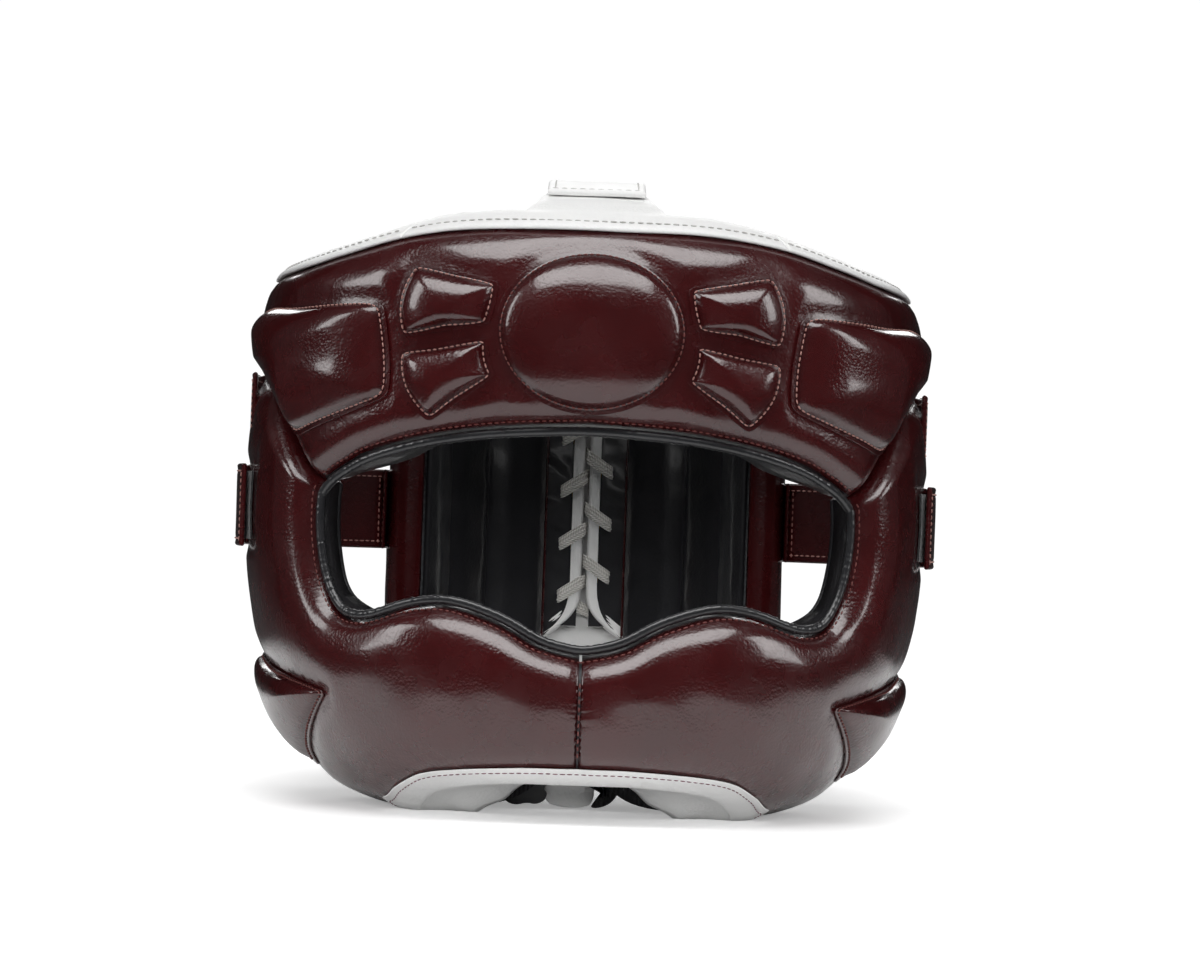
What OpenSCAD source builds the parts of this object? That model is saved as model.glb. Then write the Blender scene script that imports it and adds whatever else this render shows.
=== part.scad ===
// Full-face boxing headguard: a padded forehead, two cheek columns and a face bar in
// burgundy leather, two laced rear pads, and a white leather crown, facing and lace cover.
// The face looks along -Y, and the guard stands on its jaw corners and the nape bindings.

/* [Shell] */
// Width over the temples
shell_w = 248; // [240:1:260]
// Depth from the face bar to the lace cover
shell_d = 262; // [254:1:276]
// Height of the forehead pad's top edge above the floor
brow_top_h = 203; // [197:1:210]
// Width over the rear pads at their front edges
rear_w = 146; // [138:1:152]
// Depth of the rear half, from its front edges to the back of its pads
rear_d = 96; // [90:1:102]
// Radius of the upright curve of the back of the head
nape_r = 300; // [270:5:400]
// Height of the crown strap above the forehead pad's top edge
crown_rise = 18; // [15:1:22]

/* [Padding] */
// Thickness of the forehead pad
brow_t = 34; // [30:0.5:38]
// Thickness of the face bar
bar_t = 35; // [31:0.5:38]
// Thickness of the cheek columns
column_t = 38; // [33:0.5:40]
// Thickness of the rear pads
rear_t = 18; // [15:0.5:21]
// Height of the round forehead puff over its seam
round_puff_h = 6; // [4:0.5:8]
// Height of the fan puffs over their seams
fan_puff_h = 4.5; // [3:0.5:7]
// Height of the temple puffs over their seams
temple_puff_h = 6.5; // [4:0.5:9]
// Height of the jaw puffs over their seams
jaw_puff_h = 6; // [4:0.5:8]
// Width of the round forehead puff
round_puff_w = 65; // [58:1:66]
// Thickness of the cover leather
leather_t = 1.2; // [0.9:0.1:1.6]
// Gap between sewn layers
sewn_gap = 0.3; // [0.25:0.05:0.4]
// Diameter of the piping round the eye opening
piping_d = 3; // [2.4:0.2:3.6]

/* [Lacing] */
// Eyelets on each side
eyelet_count = 6; // [4:1:6]
// Distance between eyelets
eyelet_pitch = 21; // [18:0.5:21]
// Bore of an eyelet
eyelet_bore = 6.4; // [6:0.1:7]
// Width of the slit between the lacing plackets
slit_w = 2.6; // [2.4:0.1:3.4]
// Width of the lace
lace_w = 4.6; // [3.6:0.2:5]
// Thickness of the lace
lace_t = 1.4; // [1:0.1:1.6]
// Thickness of the lacing plackets
placket_t = 3; // [2.4:0.2:3.6]
// Width of the white edge binding on a placket
binding_w = 3.6; // [3:0.2:4.4]

/* [Straps] */
// Height of the ear straps
ear_strap_h = 29; // [24:1:32]
// Height of the temple straps
temple_strap_h = 24; // [18:1:26]
// Thickness of the side straps
side_strap_t = 1.8; // [1.4:0.1:2.2]
// Width of the crown strap
crown_strap_w = 34; // [28:1:38]
// Thickness of the crown leather
crown_t = 2.4; // [2:0.1:3]
// Width of the chin webbing
chin_strap_w = 26; // [22:1:28]
// Thickness of the chin webbing
chin_strap_t = 2; // [1.6:0.1:2.4]
// Thickness of a hook or loop patch
patch_t = 0.8; // [0.6:0.1:1]

/* [Hidden] */

burgundy = "#3d0f12";
black = "#1a1a1c";
white = "#e9e9ea";
foam_grey = "#6d6f72";
brass = "#b9a36a";

shell_p = 2.3;                                   // squareness of the shell seen from above
rear_p = 2.4;                                    // squareness of the rear half seen from above
side_run = 2.2;                                  // length of one degree behind the ears
front_d = shell_d / 2;
rise = brow_top_h / 203;                         // heights below are those of the 203 mm guard
core_w = leather_t + sewn_gap;                   // depth of a foam core below its cover
stack_h = 2 * patch_t + 3 * sewn_gap;            // a strap over its hook and loop patches
cover_lift = stack_h + crown_t;                  // the lace cover's outer face over the pads
rear_y = front_d - cover_lift - rear_d;          // where the rear half begins
puff_lift = 1.5 * sewn_gap + leather_t;                // a puff's seam over the cover

// Curves

function mix(a, b, t) = a + (b - a) * t;
function ease(t) = let (u = min(max(t, 0), 1)) u * u * (3 - 2 * u);
function slope(t, i) = let (a = max(i - 1, 0), b = min(i + 1, len(t) - 1))
    (t[b][1] - t[a][1]) / (t[b][0] - t[a][0]);
function span(t, k, i = 0) = i >= len(t) - 2 || k <= t[i + 1][0] ? i : span(t, k, i + 1);
// Smooth curve through [key, value] pairs, where a value is a number or a point
function curve(t, k) =
    k <= t[0][0] ? t[0][1] :
    k >= t[len(t) - 1][0] ? t[len(t) - 1][1] :
    let (i = span(t, k), h = t[i + 1][0] - t[i][0], s = (k - t[i][0]) / h)
    t[i][1] * (2 * s * s * s - 3 * s * s + 1) + slope(t, i) * h * (s * s * s - 2 * s * s + s)
    + t[i + 1][1] * (3 * s * s - 2 * s * s * s) + slope(t, i + 1) * h * (s * s * s - s * s);

// Surfaces of the guard

// Half width and front depth of the bare shell at each height, for the nominal guard
side_curve = [[0, 78], [9, 90], [20, 100], [40, 109], [60, 116], [95, 120.5], [125, 120],
              [150, 117.5], [180, 115], [203, 98]];
front_curve = [[0, 119], [20, 129], [40, 132], [60, 130.5], [78, 127], [115, 117], [150, 111],
               [180, 106.5], [203, 95]];
side_k = (shell_w / 2 - temple_puff_h - sewn_gap) / 117.2;
front_k = front_d / 132;
function wide(z) = curve(side_curve, z / rise) * side_k;
function deep(z) = curve(front_curve, z / rise) * front_k;

// Point of the shell at plan angle th from the face, height z and depth d below its surface
function shell_pt(th, z, d) =
    let (a = wide(z), b = deep(z), t = min(abs(th), 90), past = max(abs(th) - 90, 0) * side_run,
         nx = pow(sin(t), 2 - 2 / shell_p) / a, ny = pow(cos(t), 2 - 2 / shell_p) / b,
         n = norm([nx, ny]))
    [sign(th) * (a * pow(sin(t), 2 / shell_p) - d * nx / n),
     past - b * pow(cos(t), 2 / shell_p) + d * ny / n, max(z, 0)];
// Plan angle of the shell point that is seen at x from the front
function seen_at(x, z) = sign(x) * asin(pow(min(abs(x) / wide(z), 1), shell_p / 2));

nape_z = 95 * rise;                              // height where the back of the head is deepest
nape_y = rear_y + rear_d - nape_r;               // axis of the back's upright curve
function back_depth(z) = rear_d - nape_r + sqrt(nape_r * nape_r - pow(z - nape_z, 2));
// Point of the rear half at plan angle ph from the middle of the back
function rear_pt(ph, z, d) =
    let (a = rear_w / 2, b = back_depth(z), t = min(abs(ph), 90),
         nx = pow(sin(t), 2 - 2 / rear_p) / a, ny = pow(cos(t), 2 - 2 / rear_p) / b,
         n = norm([nx, ny]))
    [sign(ph) * (a * pow(sin(t), 2 / rear_p) - d * nx / n),
     rear_y + b * pow(cos(t), 2 / rear_p) - d * ny / n, max(z, 0)];
function rear_at(x) = sign(x) * asin(pow(min(abs(x) * 2 / rear_w, 1), rear_p / 2));

// Padded bands: columns that run from a lower edge to an upper one, each with a section

// Column: [start, end, thickness, lift of its face, drop of its inner edge, seam share, rear, side]
function band_len(c) = norm(
    (c[6] == 1 ? rear_pt(c[1][0], c[1][1], 0) : shell_pt(c[1][0], c[1][1], 0)) -
    (c[6] == 1 ? rear_pt(c[0][0], c[0][1], 0) : shell_pt(c[0][0], c[0][1], 0)));
function band_pt(c, s, d) =
    let (v = s / band_len(c), th = mix(c[0][0], c[1][0], v),
         bow = c[5] <= 0 ? 0 : c[5] * (brow_low(th) - mix(brow_low(c[0][0]), brow_low(c[1][0]), v)),
         z = mix(c[0][1], c[1][1], v) + bow
             - c[4] * pow(max(v, 0), 2) * min(d / c[2], 1),
         p = c[6] == 1 ? rear_pt(th, z, d) : shell_pt(th, z, d - jaw_thin(th, z) * share(d, c[2])))
    [c[7] * p[0], p[1], p[2]];
// How much thinner the padding is low on the jaws, and how much of that lies above depth d
function jaw_thin(th, z) = 12 * (1 - ease(z / rise / 50)) * ease((abs(th) - 12) / 30);
function share(d, t) = min(max((d - 6) / (t - 12), 0), 1);
// Section of a band from its inner edge round the face to the other inner edge
function wrap_path(c, i, back, r, turns, flats) =
    let (h = band_len(c), q = max(r - i, 0.4), top = c[3] + r)
    concat(
        [[i, back]],
        [for (k = [0:turns]) let (a = 90 * k / turns) [r - q * cos(a), top - q * sin(a)]],
        [for (k = [1:flats - 1]) [mix(r, h - r, k / flats), c[3] + r - q]],
        [for (k = [0:turns]) let (a = 90 - 90 * k / turns) [h - r + q * cos(a), top - q * sin(a)]],
        [[h - i, back]]);
// A closed ring of points from an outer path and an inner one of as many points
function ring(c, outer, inner) = concat(
    [for (p = outer) band_pt(c, p[0], p[1])],
    [for (k = [len(inner) - 1:-1:0]) band_pt(c, inner[k][0], inner[k][1])]);
// As many points as a path has, behind its own along the back
function flat_path(path, back) = let (m = len(path) - 1)
    [for (k = [0:m]) let (n = k == 1 ? 2 : k == m - 1 ? m - 2 : k) [(path[k][0] + path[n][0]) / 2, back]];

// Solid through rings that each hold an outer path and the matching inner path, turned back.
// Layers of one band get the same diagonals, mirrored about the middle ring on a full span.
module loft(rings, flip = false, full_span = false) {
    m = len(rings);
    n = len(rings[0]);
    half = n / 2;
    turn = full_span ? (m - 1) / 2 : m;
    sides = [for (i = [0:m - 2]) for (j = [0:n - 1])
        let (a = i * n + j, b = i * n + (j + 1) % n)
        each ((j < half || j == n - 1) == (i < turn) ? [[a, b, b + n], [a, b + n, a + n]]
                                       : [[a, b, a + n], [b, b + n, a + n]])];
    caps = [for (e = [0, m - 1]) for (j = [0:half - 2])
        let (a = e * n + j, b = a + 1, c = e * n + n - 2 - j, d = c + 1,
             two = j == 0 ? [[a, b, d], [b, c, d]] : [[a, b, c], [a, c, d]])
        each (e == 0 ? [for (f = two) [f[0], f[2], f[1]]] : two)];
    faces = concat(sides, caps);
    turned = flip ? [for (f = faces) [f[0], f[2], f[1]]] : faces;
    polyhedron([for (r = rings) each r], turned);
}

// Depth where a cover ends, just short of the lining
function cover_back(c) = c[2] - leather_t - sewn_gap;
// Cup-shaped leather cover over a band of columns; closed columns have no hollow
function cover_ring(c, r, closed, flats = 3) =
    let (back = cover_back(c),
         outer = wrap_path(c, 0, back, r, 2, flats),
         inner = wrap_path(c, leather_t, back, r, 2, flats))
    ring(c, outer, closed ? flat_path(inner, back) : inner);
function foam_ring(c, r, flats = 3) =
    let (back = cover_back(c) - 2 * sewn_gap,
         whole = wrap_path(c, core_w, back, r, 2, flats),
         outer = [for (k = [1:len(whole) - 2]) whole[k]])
    ring(c, outer, flat_path(outer, back));
// Lining, with points also under the binding that folds over one of its ends by fold
function lining_ring(c, margin, fold = 0, at_start = false) =
    let (h = band_len(c), rest = h - fold,
         up = concat([for (k = [0:2]) mix(margin, rest, k / 3)],
                     fold > 0 ? [rest, h - fold / 2] : [rest * 2 / 3], [h - margin]),
         s = fold == 0 ? up : [for (k = [len(up) - 1:-1:0]) at_start ? h - up[k] : up[k]])
    ring(c, [for (v = s) [v, c[2] - leather_t]], [for (v = s) [v, c[2]]]);
// Binding that wraps the end edge of a band: front mm of its face, then round to the inner side
function edge_ring(c, r, front, inside, at_start) =
    let (h = band_len(c), o = sewn_gap + leather_t,
         run = function(g) let (first = asin(min(max((r - front) / (r + g), 0), 0.96))) concat(
             [[max(front, r - (r + g) * sin(first)), front > r ? c[3] - g : c[3] + r - (r + g) * cos(first)]],
             [for (k = front > r ? [0, 1, 2] : [1, 2, 3])
                 let (a = mix(first, 90, k / (front > r ? 2 : 3)))
                 [r - (r + g) * sin(a), c[3] + r - (r + g) * cos(a)]],
             [[-g, cover_back(c)], [-g, c[2] + g], [inside / 2, c[2] + g], [inside, c[2] + g]]),
         turn = function(path) [for (p = path) [at_start ? p[0] : h - p[0], p[1]]])
    ring(c, turn(run(o)), turn(run(sewn_gap)));

// Forehead pad

seam_gap = 4 * sewn_gap;
brow_end = 94;                                   // plan angle of the forehead pad's rear edges
brow_r = 9;                                      // roundness of the forehead pad's edges
// Lower edge of the forehead pad by plan angle: eye opening, corner, then seam with the cheek
brow_edge = [[0, 132.5], [12, 130.8], [21, 128], [31, 123.3], [38.6, 117.5], [44.9, 111],
             [50, 113], [57, 121.5], [71, 141.5], [82, 149], [94, 152]];
brow_crest = [[0, 203], [20, 202.5], [35, 199.5], [50, 193.5], [62, 189.5], [78, 187], [94, 184]];
function brow_low(th) = curve(brow_edge, abs(th)) * rise;
function brow_high(th) = curve(brow_crest, abs(th)) * rise;
function brow_depth(th) = mix(brow_t, column_t, ease((abs(th) - 15) / 45));
function end_lift(gone, r) = r - sqrt(max(r * r - pow(max(r - gone, 0), 2), 0));
function brow_col(th) = [[th, brow_low(th)], [th, brow_high(th)], brow_depth(th),
    end_lift((brow_end - abs(th)) * side_run, brow_r), 0, 0, 0, 1];
brow_angles = [92.8, 90, 84, 77, 70, 63, 56, 50, 45, 39, 31, 23, 15, 7.5, 0];
function brow_fan(first) = concat([first], brow_angles,
    [for (k = [len(brow_angles) - 2:-1:0]) -brow_angles[k]], [-first]);

module forehead_cover() {
    wall = brow_end - leather_t / side_run;
    fan = brow_fan(wall - 0.08);
    color(burgundy)
    loft(concat(
        [cover_ring(brow_col(brow_end), brow_r, true), cover_ring(brow_col(wall), brow_r, true)],
        [for (th = fan) cover_ring(brow_col(th), brow_r, false)],
        [cover_ring(brow_col(-wall), brow_r, true), cover_ring(brow_col(-brow_end), brow_r, true)]),
        true, true);
}

module forehead_foam() {
    color(foam_grey)
    loft([for (th = brow_fan(brow_end - core_w / side_run)) foam_ring(brow_col(th), brow_r)], true, true);
}

module forehead_lining() {
    color(black)
    loft([for (th = brow_fan(brow_end - sewn_gap / side_run)) lining_ring(brow_col(th), sewn_gap)],
        true, true);
}

// Cheek columns and face bar, one band from the forehead seam round the eye to the middle

face_r = 9;
face_flats = 6;                                  // facets across a column or the bar
// Edge on the eye side and edge on the outer side, by the share of the way to the middle
eye_edge = [[0, [45.2, 109.8]], [0.12, [45.4, 101]], [0.25, [45, 88]], [0.36, [42.4, 73.5]],
            [0.44, [38.3, 65.6]], [0.52, [32, 66.6]], [0.62, [22.5, 71.4]], [0.7, [16.5, 70.2]],
            [0.8, [10, 65.3]], [0.9, [4.8, 59.5]], [1, [0, 56]]];
outer_edge = [[0, [94, 150.8]], [0.12, [94, 126]], [0.25, [93, 92]], [0.36, [91.5, 60]],
              [0.44, [88.5, 34]], [0.5, [84, 11.4]], [0.56, [75, 0.3]], [0.62, [63, 0.3]],
              [0.68, [51, 6.2]], [0.74, [41.5, 11.2]], [0.8, [32.2, 15.8]], [0.87, [22.6, 18.9]],
              [0.94, [9.4, 20.2]], [1, [0, 20]]];
// How far the inner lower edge hangs below the chin arch
arch_drop = [[0, 0], [4, 0.4], [9.4, 4.4], [16, 10.5], [22.6, 13], [32.2, 12.5], [41, 8.6], [51, 4],
             [62, 0.2], [94, 0]];
function raised(p) = [p[0], p[1] * rise];
function face_depth(th) = mix(bar_t, column_t, ease((th - 8) / 35));
function face_col(s, side) =
    let (k = raised(curve(outer_edge, s)), e = raised(curve(eye_edge, s)))
    [e, k, face_depth(mix(e[0], k[0], 0.5)), 5 * pow(1 - min(s / 0.05, 1), 2),
     curve(arch_drop, k[0]) * rise, 1 - ease(s / 0.16), 0, side];
face_wall = 0.008;
face_steps = [0.028, 0.055, 0.11, 0.18, 0.26, 0.34, 0.39, 0.43, 0.47, 0.51, 0.55, 0.59, 0.63, 0.68,
              0.74, 0.8, 0.87, 0.94, 1];

module face_cover(side) {
    color(burgundy)
    loft(concat(
        [cover_ring(face_col(0, side), face_r, true, face_flats),
         cover_ring(face_col(face_wall, side), face_r, true, face_flats)],
        [for (s = concat([face_wall + 0.0006], face_steps)) let (c = face_col(s, side))
            cover_ring(s == 1 ? middle_col(c, sewn_gap / 2) : c, face_r, false, face_flats)]),
        side < 0);
}
// The last column of a face half, drawn back from the middle seam
function middle_col(c, gap) = [[gap / 1.6, c[0][1]], [gap / 1.6, c[1][1]], c[2], c[3], c[4], c[5],
                               c[6], c[7]];
module face_cover_left() face_cover(-1);
module face_cover_right() face_cover(1);

module face_foam() {
    steps = concat([0.023], face_steps);
    count = len(steps);
    color(foam_grey)
    loft(concat(
        [for (s = steps) foam_ring(face_col(s, 1), face_r, face_flats)],
        [for (k = [count - 2:-1:0]) foam_ring(face_col(steps[k], -1), face_r, face_flats)]), false, true);
}

module face_lining(side) {
    color(black)
    loft([for (s = concat([0], face_steps)) let (c = face_col(s, side))
        lining_ring(s == 1 ? middle_col(c, sewn_gap / 2) : c, sewn_gap, facing_in)], side > 0);
}
module face_lining_left() face_lining(-1);
module face_lining_right() face_lining(1);

// White facing round the jaw and the chin arch, from one jaw corner to the other
facing_w = 6.6;                                  // its width on the outside, round the chin arch
facing_jaw = [0.64, 0.74];                       // it comes out from under the jaw between these shares
facing_in = 20;                                  // its height on the inside
facing_steps = [for (s = face_steps) if (s > 0.46) s];
function facing_front(s) = facing_w * ease((s - facing_jaw[0]) / (facing_jaw[1] - facing_jaw[0]));
function facing_ring(s, side) =
    edge_ring(face_col(s, side), face_r, facing_front(s), facing_in, false);
module chin_facing() {
    count = len(facing_steps);
    color(white)
    loft(concat(
        [for (s = facing_steps) facing_ring(s, 1)],
        [for (k = [count - 2:-1:0]) facing_ring(facing_steps[k], -1)]), false, true);
}

// Piping round the eye opening, just inside its edge
piping_sides = 6;
function along(list, k) = list[(k + len(list)) % len(list)];
function piping_run() =
    let (top = [for (th = [-42:7:42]) [th, brow_low(th)]],
         right = [for (s = [0.02:0.057:0.97]) raised(curve(eye_edge, s))],
         left = [for (s = [0.932:-0.057:0.02]) let (p = raised(curve(eye_edge, s))) [-p[0], p[1]]])
    concat(top, right, left);
module eye_piping() {
    run = piping_run();
    off = piping_d / 2 + sewn_gap;
    edge = [for (p = run) shell_pt(p[0] == 0 ? 0.001 : p[0], p[1], face_r * 0.55)];
    mid = [0, -front_d, 95 * rise];
    color(black)
    ring_tube([for (k = [0:len(run) - 1])
        let (t = along(edge, k + 1) - along(edge, k - 1), p = edge[k],
             out = [sin(run[k][0]), -cos(run[k][0]), 0], side = cross(out, t),
             dir = side / norm(side)) p + dir * off * ((dir * (mid - p)) > 0 ? 1 : -1)],
        piping_d / 2, piping_sides);
}
// Closed round tube through a ring of points
module ring_tube(run, r, sides) {
    m = len(run);
    pts = [for (k = [0:m - 1])
        let (t = along(run, k + 1) - along(run, k - 1), u = t / norm(t),
             h = cross(u, [0, -1, 0]), n1 = h / norm(h), n2 = cross(u, n1))
        for (j = [0:sides - 1]) let (a = 360 * j / sides) run[k] + r * (cos(a) * n1 + sin(a) * n2)];
    faces = [for (k = [0:m - 1]) for (j = [0:sides - 1])
        let (a = k * sides + j, b = k * sides + (j + 1) % sides,
             c = ((k + 1) % m) * sides + j, d = ((k + 1) % m) * sides + (j + 1) % sides)
        each [[a, d, b], [a, c, d]]];
    polyhedron(pts, faces);
}

// Puffs: domed leather pads sewn on the shell

// Points of one edge of a puff from corner p to corner q, bowed out by b
function puff_edge(p, q, b, n) =
    let (t = q - p, out = [t[1], -t[0]] / norm(t))
    [for (k = [0:n - 1]) let (v = k / n) mix(p, q, v) + out * b * 4 * v * (1 - v)];
function puff_line(corners, n) = [for (k = [0:len(corners) - 1])
    let (p = corners[k], q = along(corners, k + 1))
    each puff_edge([p[0], p[1]], [q[0], q[1]], p[2], n)];
puff_rings = [1, 0.96, 0.86, 0.62, 0.3];
puff_seat = 1.5 * sewn_gap;                      // the underside over the cover, at its seam
puff_hollow = 0.6;                               // and how much more in its middle
// Puff over an outline of [across, up] points; across is x seen from the front, or a plan angle
module puff(line, centre, h, by_angle, seats) {
    n = len(line);
    place = function(p, d) let (z = p[1] * rise) shell_pt(by_angle ? p[0] : seen_at(p[0], z), z, d);
    top = [for (s = puff_rings) for (p = line)
        place(mix(centre, p, s), -puff_lift - h * sqrt(max(1 - pow(s, 3.2), 0)))];
    floor_rings = [for (k = [0:seats - 1]) 1 - k / seats];
    base = [for (s = floor_rings) for (p = line)
        place(mix(centre, p, s), -puff_seat - (s < 1 ? puff_hollow : 0))];
    peak = place(centre, -puff_lift - h);
    seat = place(centre, -puff_seat - puff_hollow);
    m = len(puff_rings);
    low = m * n;
    last = low + len(floor_rings) * n;
    strip = function(a, b) [for (j = [0:n - 1]) let (k = (j + 1) % n)
        each [[a + j, b + j, b + k], [a + j, b + k, a + k]]];
    polyhedron(concat(top, base, [peak, seat]), concat(
        [for (i = [0:m - 2]) each strip(i * n, (i + 1) * n)],
        [for (j = [0:n - 1]) [(m - 1) * n + j, last, (m - 1) * n + (j + 1) % n]],
        strip(low, 0),
        [for (i = [1:seats - 1]) each strip(low + i * n, low + (i - 1) * n)],
        [for (j = [0:n - 1]) [last - n + j, last - n + (j + 1) % n, last + 1]]));
}

round_puff_z = 164;                              // height of the round puff's centre
round_puff_hgt = 56;                             // its height on the forehead
module forehead_round_puff() {
    line = [for (a = [0:15:345]) [round_puff_w / 2 * cos(a), round_puff_z + round_puff_hgt / 2 * sin(a)]];
    color(burgundy)
    puff(line, [0.001, round_puff_z], round_puff_h, false, 3);
}

// Corners of the fan puffs on the right, with the bow of the edge that follows each
fan_in = round_puff_w / 2 + 2.6;                 // nearest the round puff
fan_upper = [[fan_in - 3.2, 179.7, 0.6], [fan_in - 0.6, 165.6, 0.4], [64.4, 160.6, 3.4],
             [60.3, 185.7, 0.6]];
fan_lower = [[fan_in - 0.4, 160.8, -0.8], [fan_in - 3.4, 148.6, 0.4], [54.3, 131.9, 3.6],
             [64.6, 155.8, 0.4]];
module fan_puff(corners, side) {
    line = puff_line(corners, 5);
    color(burgundy)
    mirror([side < 0 ? 1 : 0, 0, 0])
    puff(line, [50, (corners[0][1] + corners[2][1]) / 2], fan_puff_h, false, 2);
}
module fan_puff_upper_left() fan_puff(fan_upper, -1);
module fan_puff_upper_right() fan_puff(fan_upper, 1);
module fan_puff_lower_left() fan_puff(fan_lower, -1);
module fan_puff_lower_right() fan_puff(fan_lower, 1);

// Corners by plan angle and height
temple_line = [[34, 172.6, 0.5], [31.5, 140.4, 0.4], [55, 125.6, -0.3], [72, 147, 0], [84, 154, 0.2],
               [84, 168, 0.4], [69, 172, 0]];
module temple_puff(side) {
    color(burgundy)
    mirror([side < 0 ? 1 : 0, 0, 0])
    puff(puff_line(temple_line, 4), [58, 154], temple_puff_h, true, 4);
}
module temple_puff_left() temple_puff(-1);
module temple_puff_right() temple_puff(1);

jaw_line = [[49, 40, 0.3], [72, 12, 0.6], [85, 20, 0.2], [88, 50, 0.5]];
module jaw_puff(side) {
    color(burgundy)
    mirror([side < 0 ? 1 : 0, 0, 0])
    puff(puff_line(jaw_line, 6), [73, 34], jaw_puff_h, true, 3);
}
module jaw_puff_left() jaw_puff(-1);
module jaw_puff_right() jaw_puff(1);

// Rear pads

rear_top = 190 * rise;
rear_r = 6;
pad_x = 17;                                      // the pads' middle edges, beside the plackets
// Lower edge of the rear pads by distance from the middle: the nape notch
nape_edge = [[0, 63], [17, 51], [28, 34], [40, 14], [50, 4], [60, 1.5], [90, 1.5]];
channel_deep = 4;                                // depth of the seams between the channels
rear_first = rear_at(pad_x);
rear_last = 90;
channels = 3;
function rear_x(ph) = rear_w / 2 * pow(sin(ph), 2 / rear_p);
// Thickness of a rear pad: three channels between its edges
function rear_pad_t(v) = rear_t - channel_deep * pow(1 - abs(sin(180 * channels * v)), 2);
function rear_col(v, side) =
    let (ph = mix(rear_first, rear_last, v), run = 125)
    [[ph, curve(nape_edge, rear_x(ph)) * rise], [ph, rear_top], rear_pad_t(v),
     end_lift(run * min(v, 1 - v), rear_r) * 0.8, 0, 0, 1, side];
rear_steps = [0.02, 0.06, 0.165, 0.27, 0.333, 0.4, 0.5, 0.6, 0.667, 0.73, 0.835, 0.94, 0.98];
rear_wall = 0.0096;

module rear_cover(side) {
    color(burgundy)
    loft(concat(
        [for (v = [0, rear_wall]) cover_ring(rear_col(v, side), rear_r, true)],
        [for (v = concat([rear_wall + 0.003], rear_steps, [1 - rear_wall - 0.003]))
            cover_ring(rear_col(v, side), rear_r, false)],
        [for (v = [1 - rear_wall, 1]) cover_ring(rear_col(v, side), rear_r, true)]),
        side > 0);
}
module rear_cover_left() rear_cover(-1);
module rear_cover_right() rear_cover(1);

module rear_foam(side) {
    color(foam_grey)
    loft([for (v = concat([0.014], rear_steps, [0.986])) foam_ring(rear_col(v, side), rear_r)], side > 0);
}
module rear_foam_left() rear_foam(-1);
module rear_foam_right() rear_foam(1);

module rear_lining(side) {
    color(black)
    loft([for (v = concat([0.003], rear_steps, [0.997]))
        lining_ring(rear_col(v, side), sewn_gap, nape_binding_w, true)], side > 0);
}
module rear_lining_left() rear_lining(-1);
module rear_lining_right() rear_lining(1);

nape_binding_w = 7;
module nape_binding(side) {
    color(white)
    loft([for (v = concat([0.003], rear_steps, [0.997]))
        edge_ring(rear_col(v, side), rear_r, nape_binding_w, nape_binding_w, true)], side < 0);
}
module nape_binding_left() nape_binding(-1);
module nape_binding_right() nape_binding(1);

// Lacing: two plackets that follow the upright curve of the back, with eyelets and a lace

placket_d = (rear_t - placket_t) / 2 - 1.5;      // depth of a placket's outer face
placket_z0 = 58 * rise;
placket_z1 = 189 * rise;
binding_t = 0.8;
flange_r = eyelet_bore / 2 + 1.7;
flange_t = 0.5;
barrel_r = eyelet_bore / 2 + 0.5;
eyelet_x = slit_w / 2 + binding_w + sewn_gap + flange_r;
eyelet_z0 = 69 * rise;                           // height of the lowest left eyelet
stagger = 8;                                     // the right eyelets sit higher, as laced
function eyelet_z(k, side) = eyelet_z0 + (k * eyelet_pitch + (side > 0 ? stagger : 0)) * rise;
function nape_angle(z) = asin((z - nape_z) / nape_r);
function nape_pt(x, d, z) = let (a = nape_angle(z))
    [x, nape_y + (nape_r - d) * cos(a), nape_z + (nape_r - d) * sin(a)];
// Turns a profile of [radius, x] about the axis of the back's curve, from height z0 to z1
module about_nape(z0, z1) {
    translate([0, nape_y, nape_z])
    rotate([90, 0, 90])
    rotate([0, 0, nape_angle(z0)])
    rotate_extrude(angle = nape_angle(z1) - nape_angle(z0), $fn = 180)
    children();
}
// Puts a child that stands along +Y on each eyelet's axis
module at_eyelets(side) {
    for (k = [0:eyelet_count - 1])
        translate([0, nape_y, nape_z])
        rotate([nape_angle(eyelet_z(k, side)), 0, 0])
        translate([side * eyelet_x, nape_r - placket_d - placket_t / 2, 0])
        rotate([-90, 0, 0])
        children();
}

module lacing_placket(side) {
    x0 = slit_w / 2 + binding_t + sewn_gap;
    w = rear_pt(rear_first, nape_z, placket_d + placket_t)[0] - sewn_gap - x0;
    color(black)
    difference() {
        about_nape(placket_z0, placket_z1)
            translate([nape_r - placket_d - placket_t, side > 0 ? x0 : -x0 - w])
            square([placket_t, w]);
        at_eyelets(side) cylinder(r = barrel_r + 0.1, h = placket_t * 3, center = true, $fn = 36);
    }
}
module lacing_placket_left() lacing_placket(-1);
module lacing_placket_right() lacing_placket(1);

module placket_binding(side) {
    slot = placket_t + 2 * sewn_gap;
    color(white)
    about_nape(placket_z0, placket_z1)
    translate([nape_r - placket_d - placket_t / 2, 0])
    mirror([0, side > 0 ? 0 : 1])
    difference() {
        translate([-slot / 2 - binding_t, slit_w / 2]) square([slot + 2 * binding_t, binding_w]);
        translate([-slot / 2, slit_w / 2 + binding_t]) square([slot, binding_w]);
    }
}
module placket_binding_left() placket_binding(-1);
module placket_binding_right() placket_binding(1);

module eyelets(side) {
    reach = placket_t / 2 + 0.1;
    color(brass)
    at_eyelets(side)
    rotate_extrude($fn = 36)
    polygon([[eyelet_bore / 2, -reach - flange_t], [flange_r, -reach - flange_t], [flange_r, -reach],
             [barrel_r, -reach], [barrel_r, reach], [flange_r, reach],
             [flange_r, reach + flange_t], [eyelet_bore / 2, reach + flange_t]]);
}
module eyelets_left() eyelets(-1);
module eyelets_right() eyelets(1);

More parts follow.
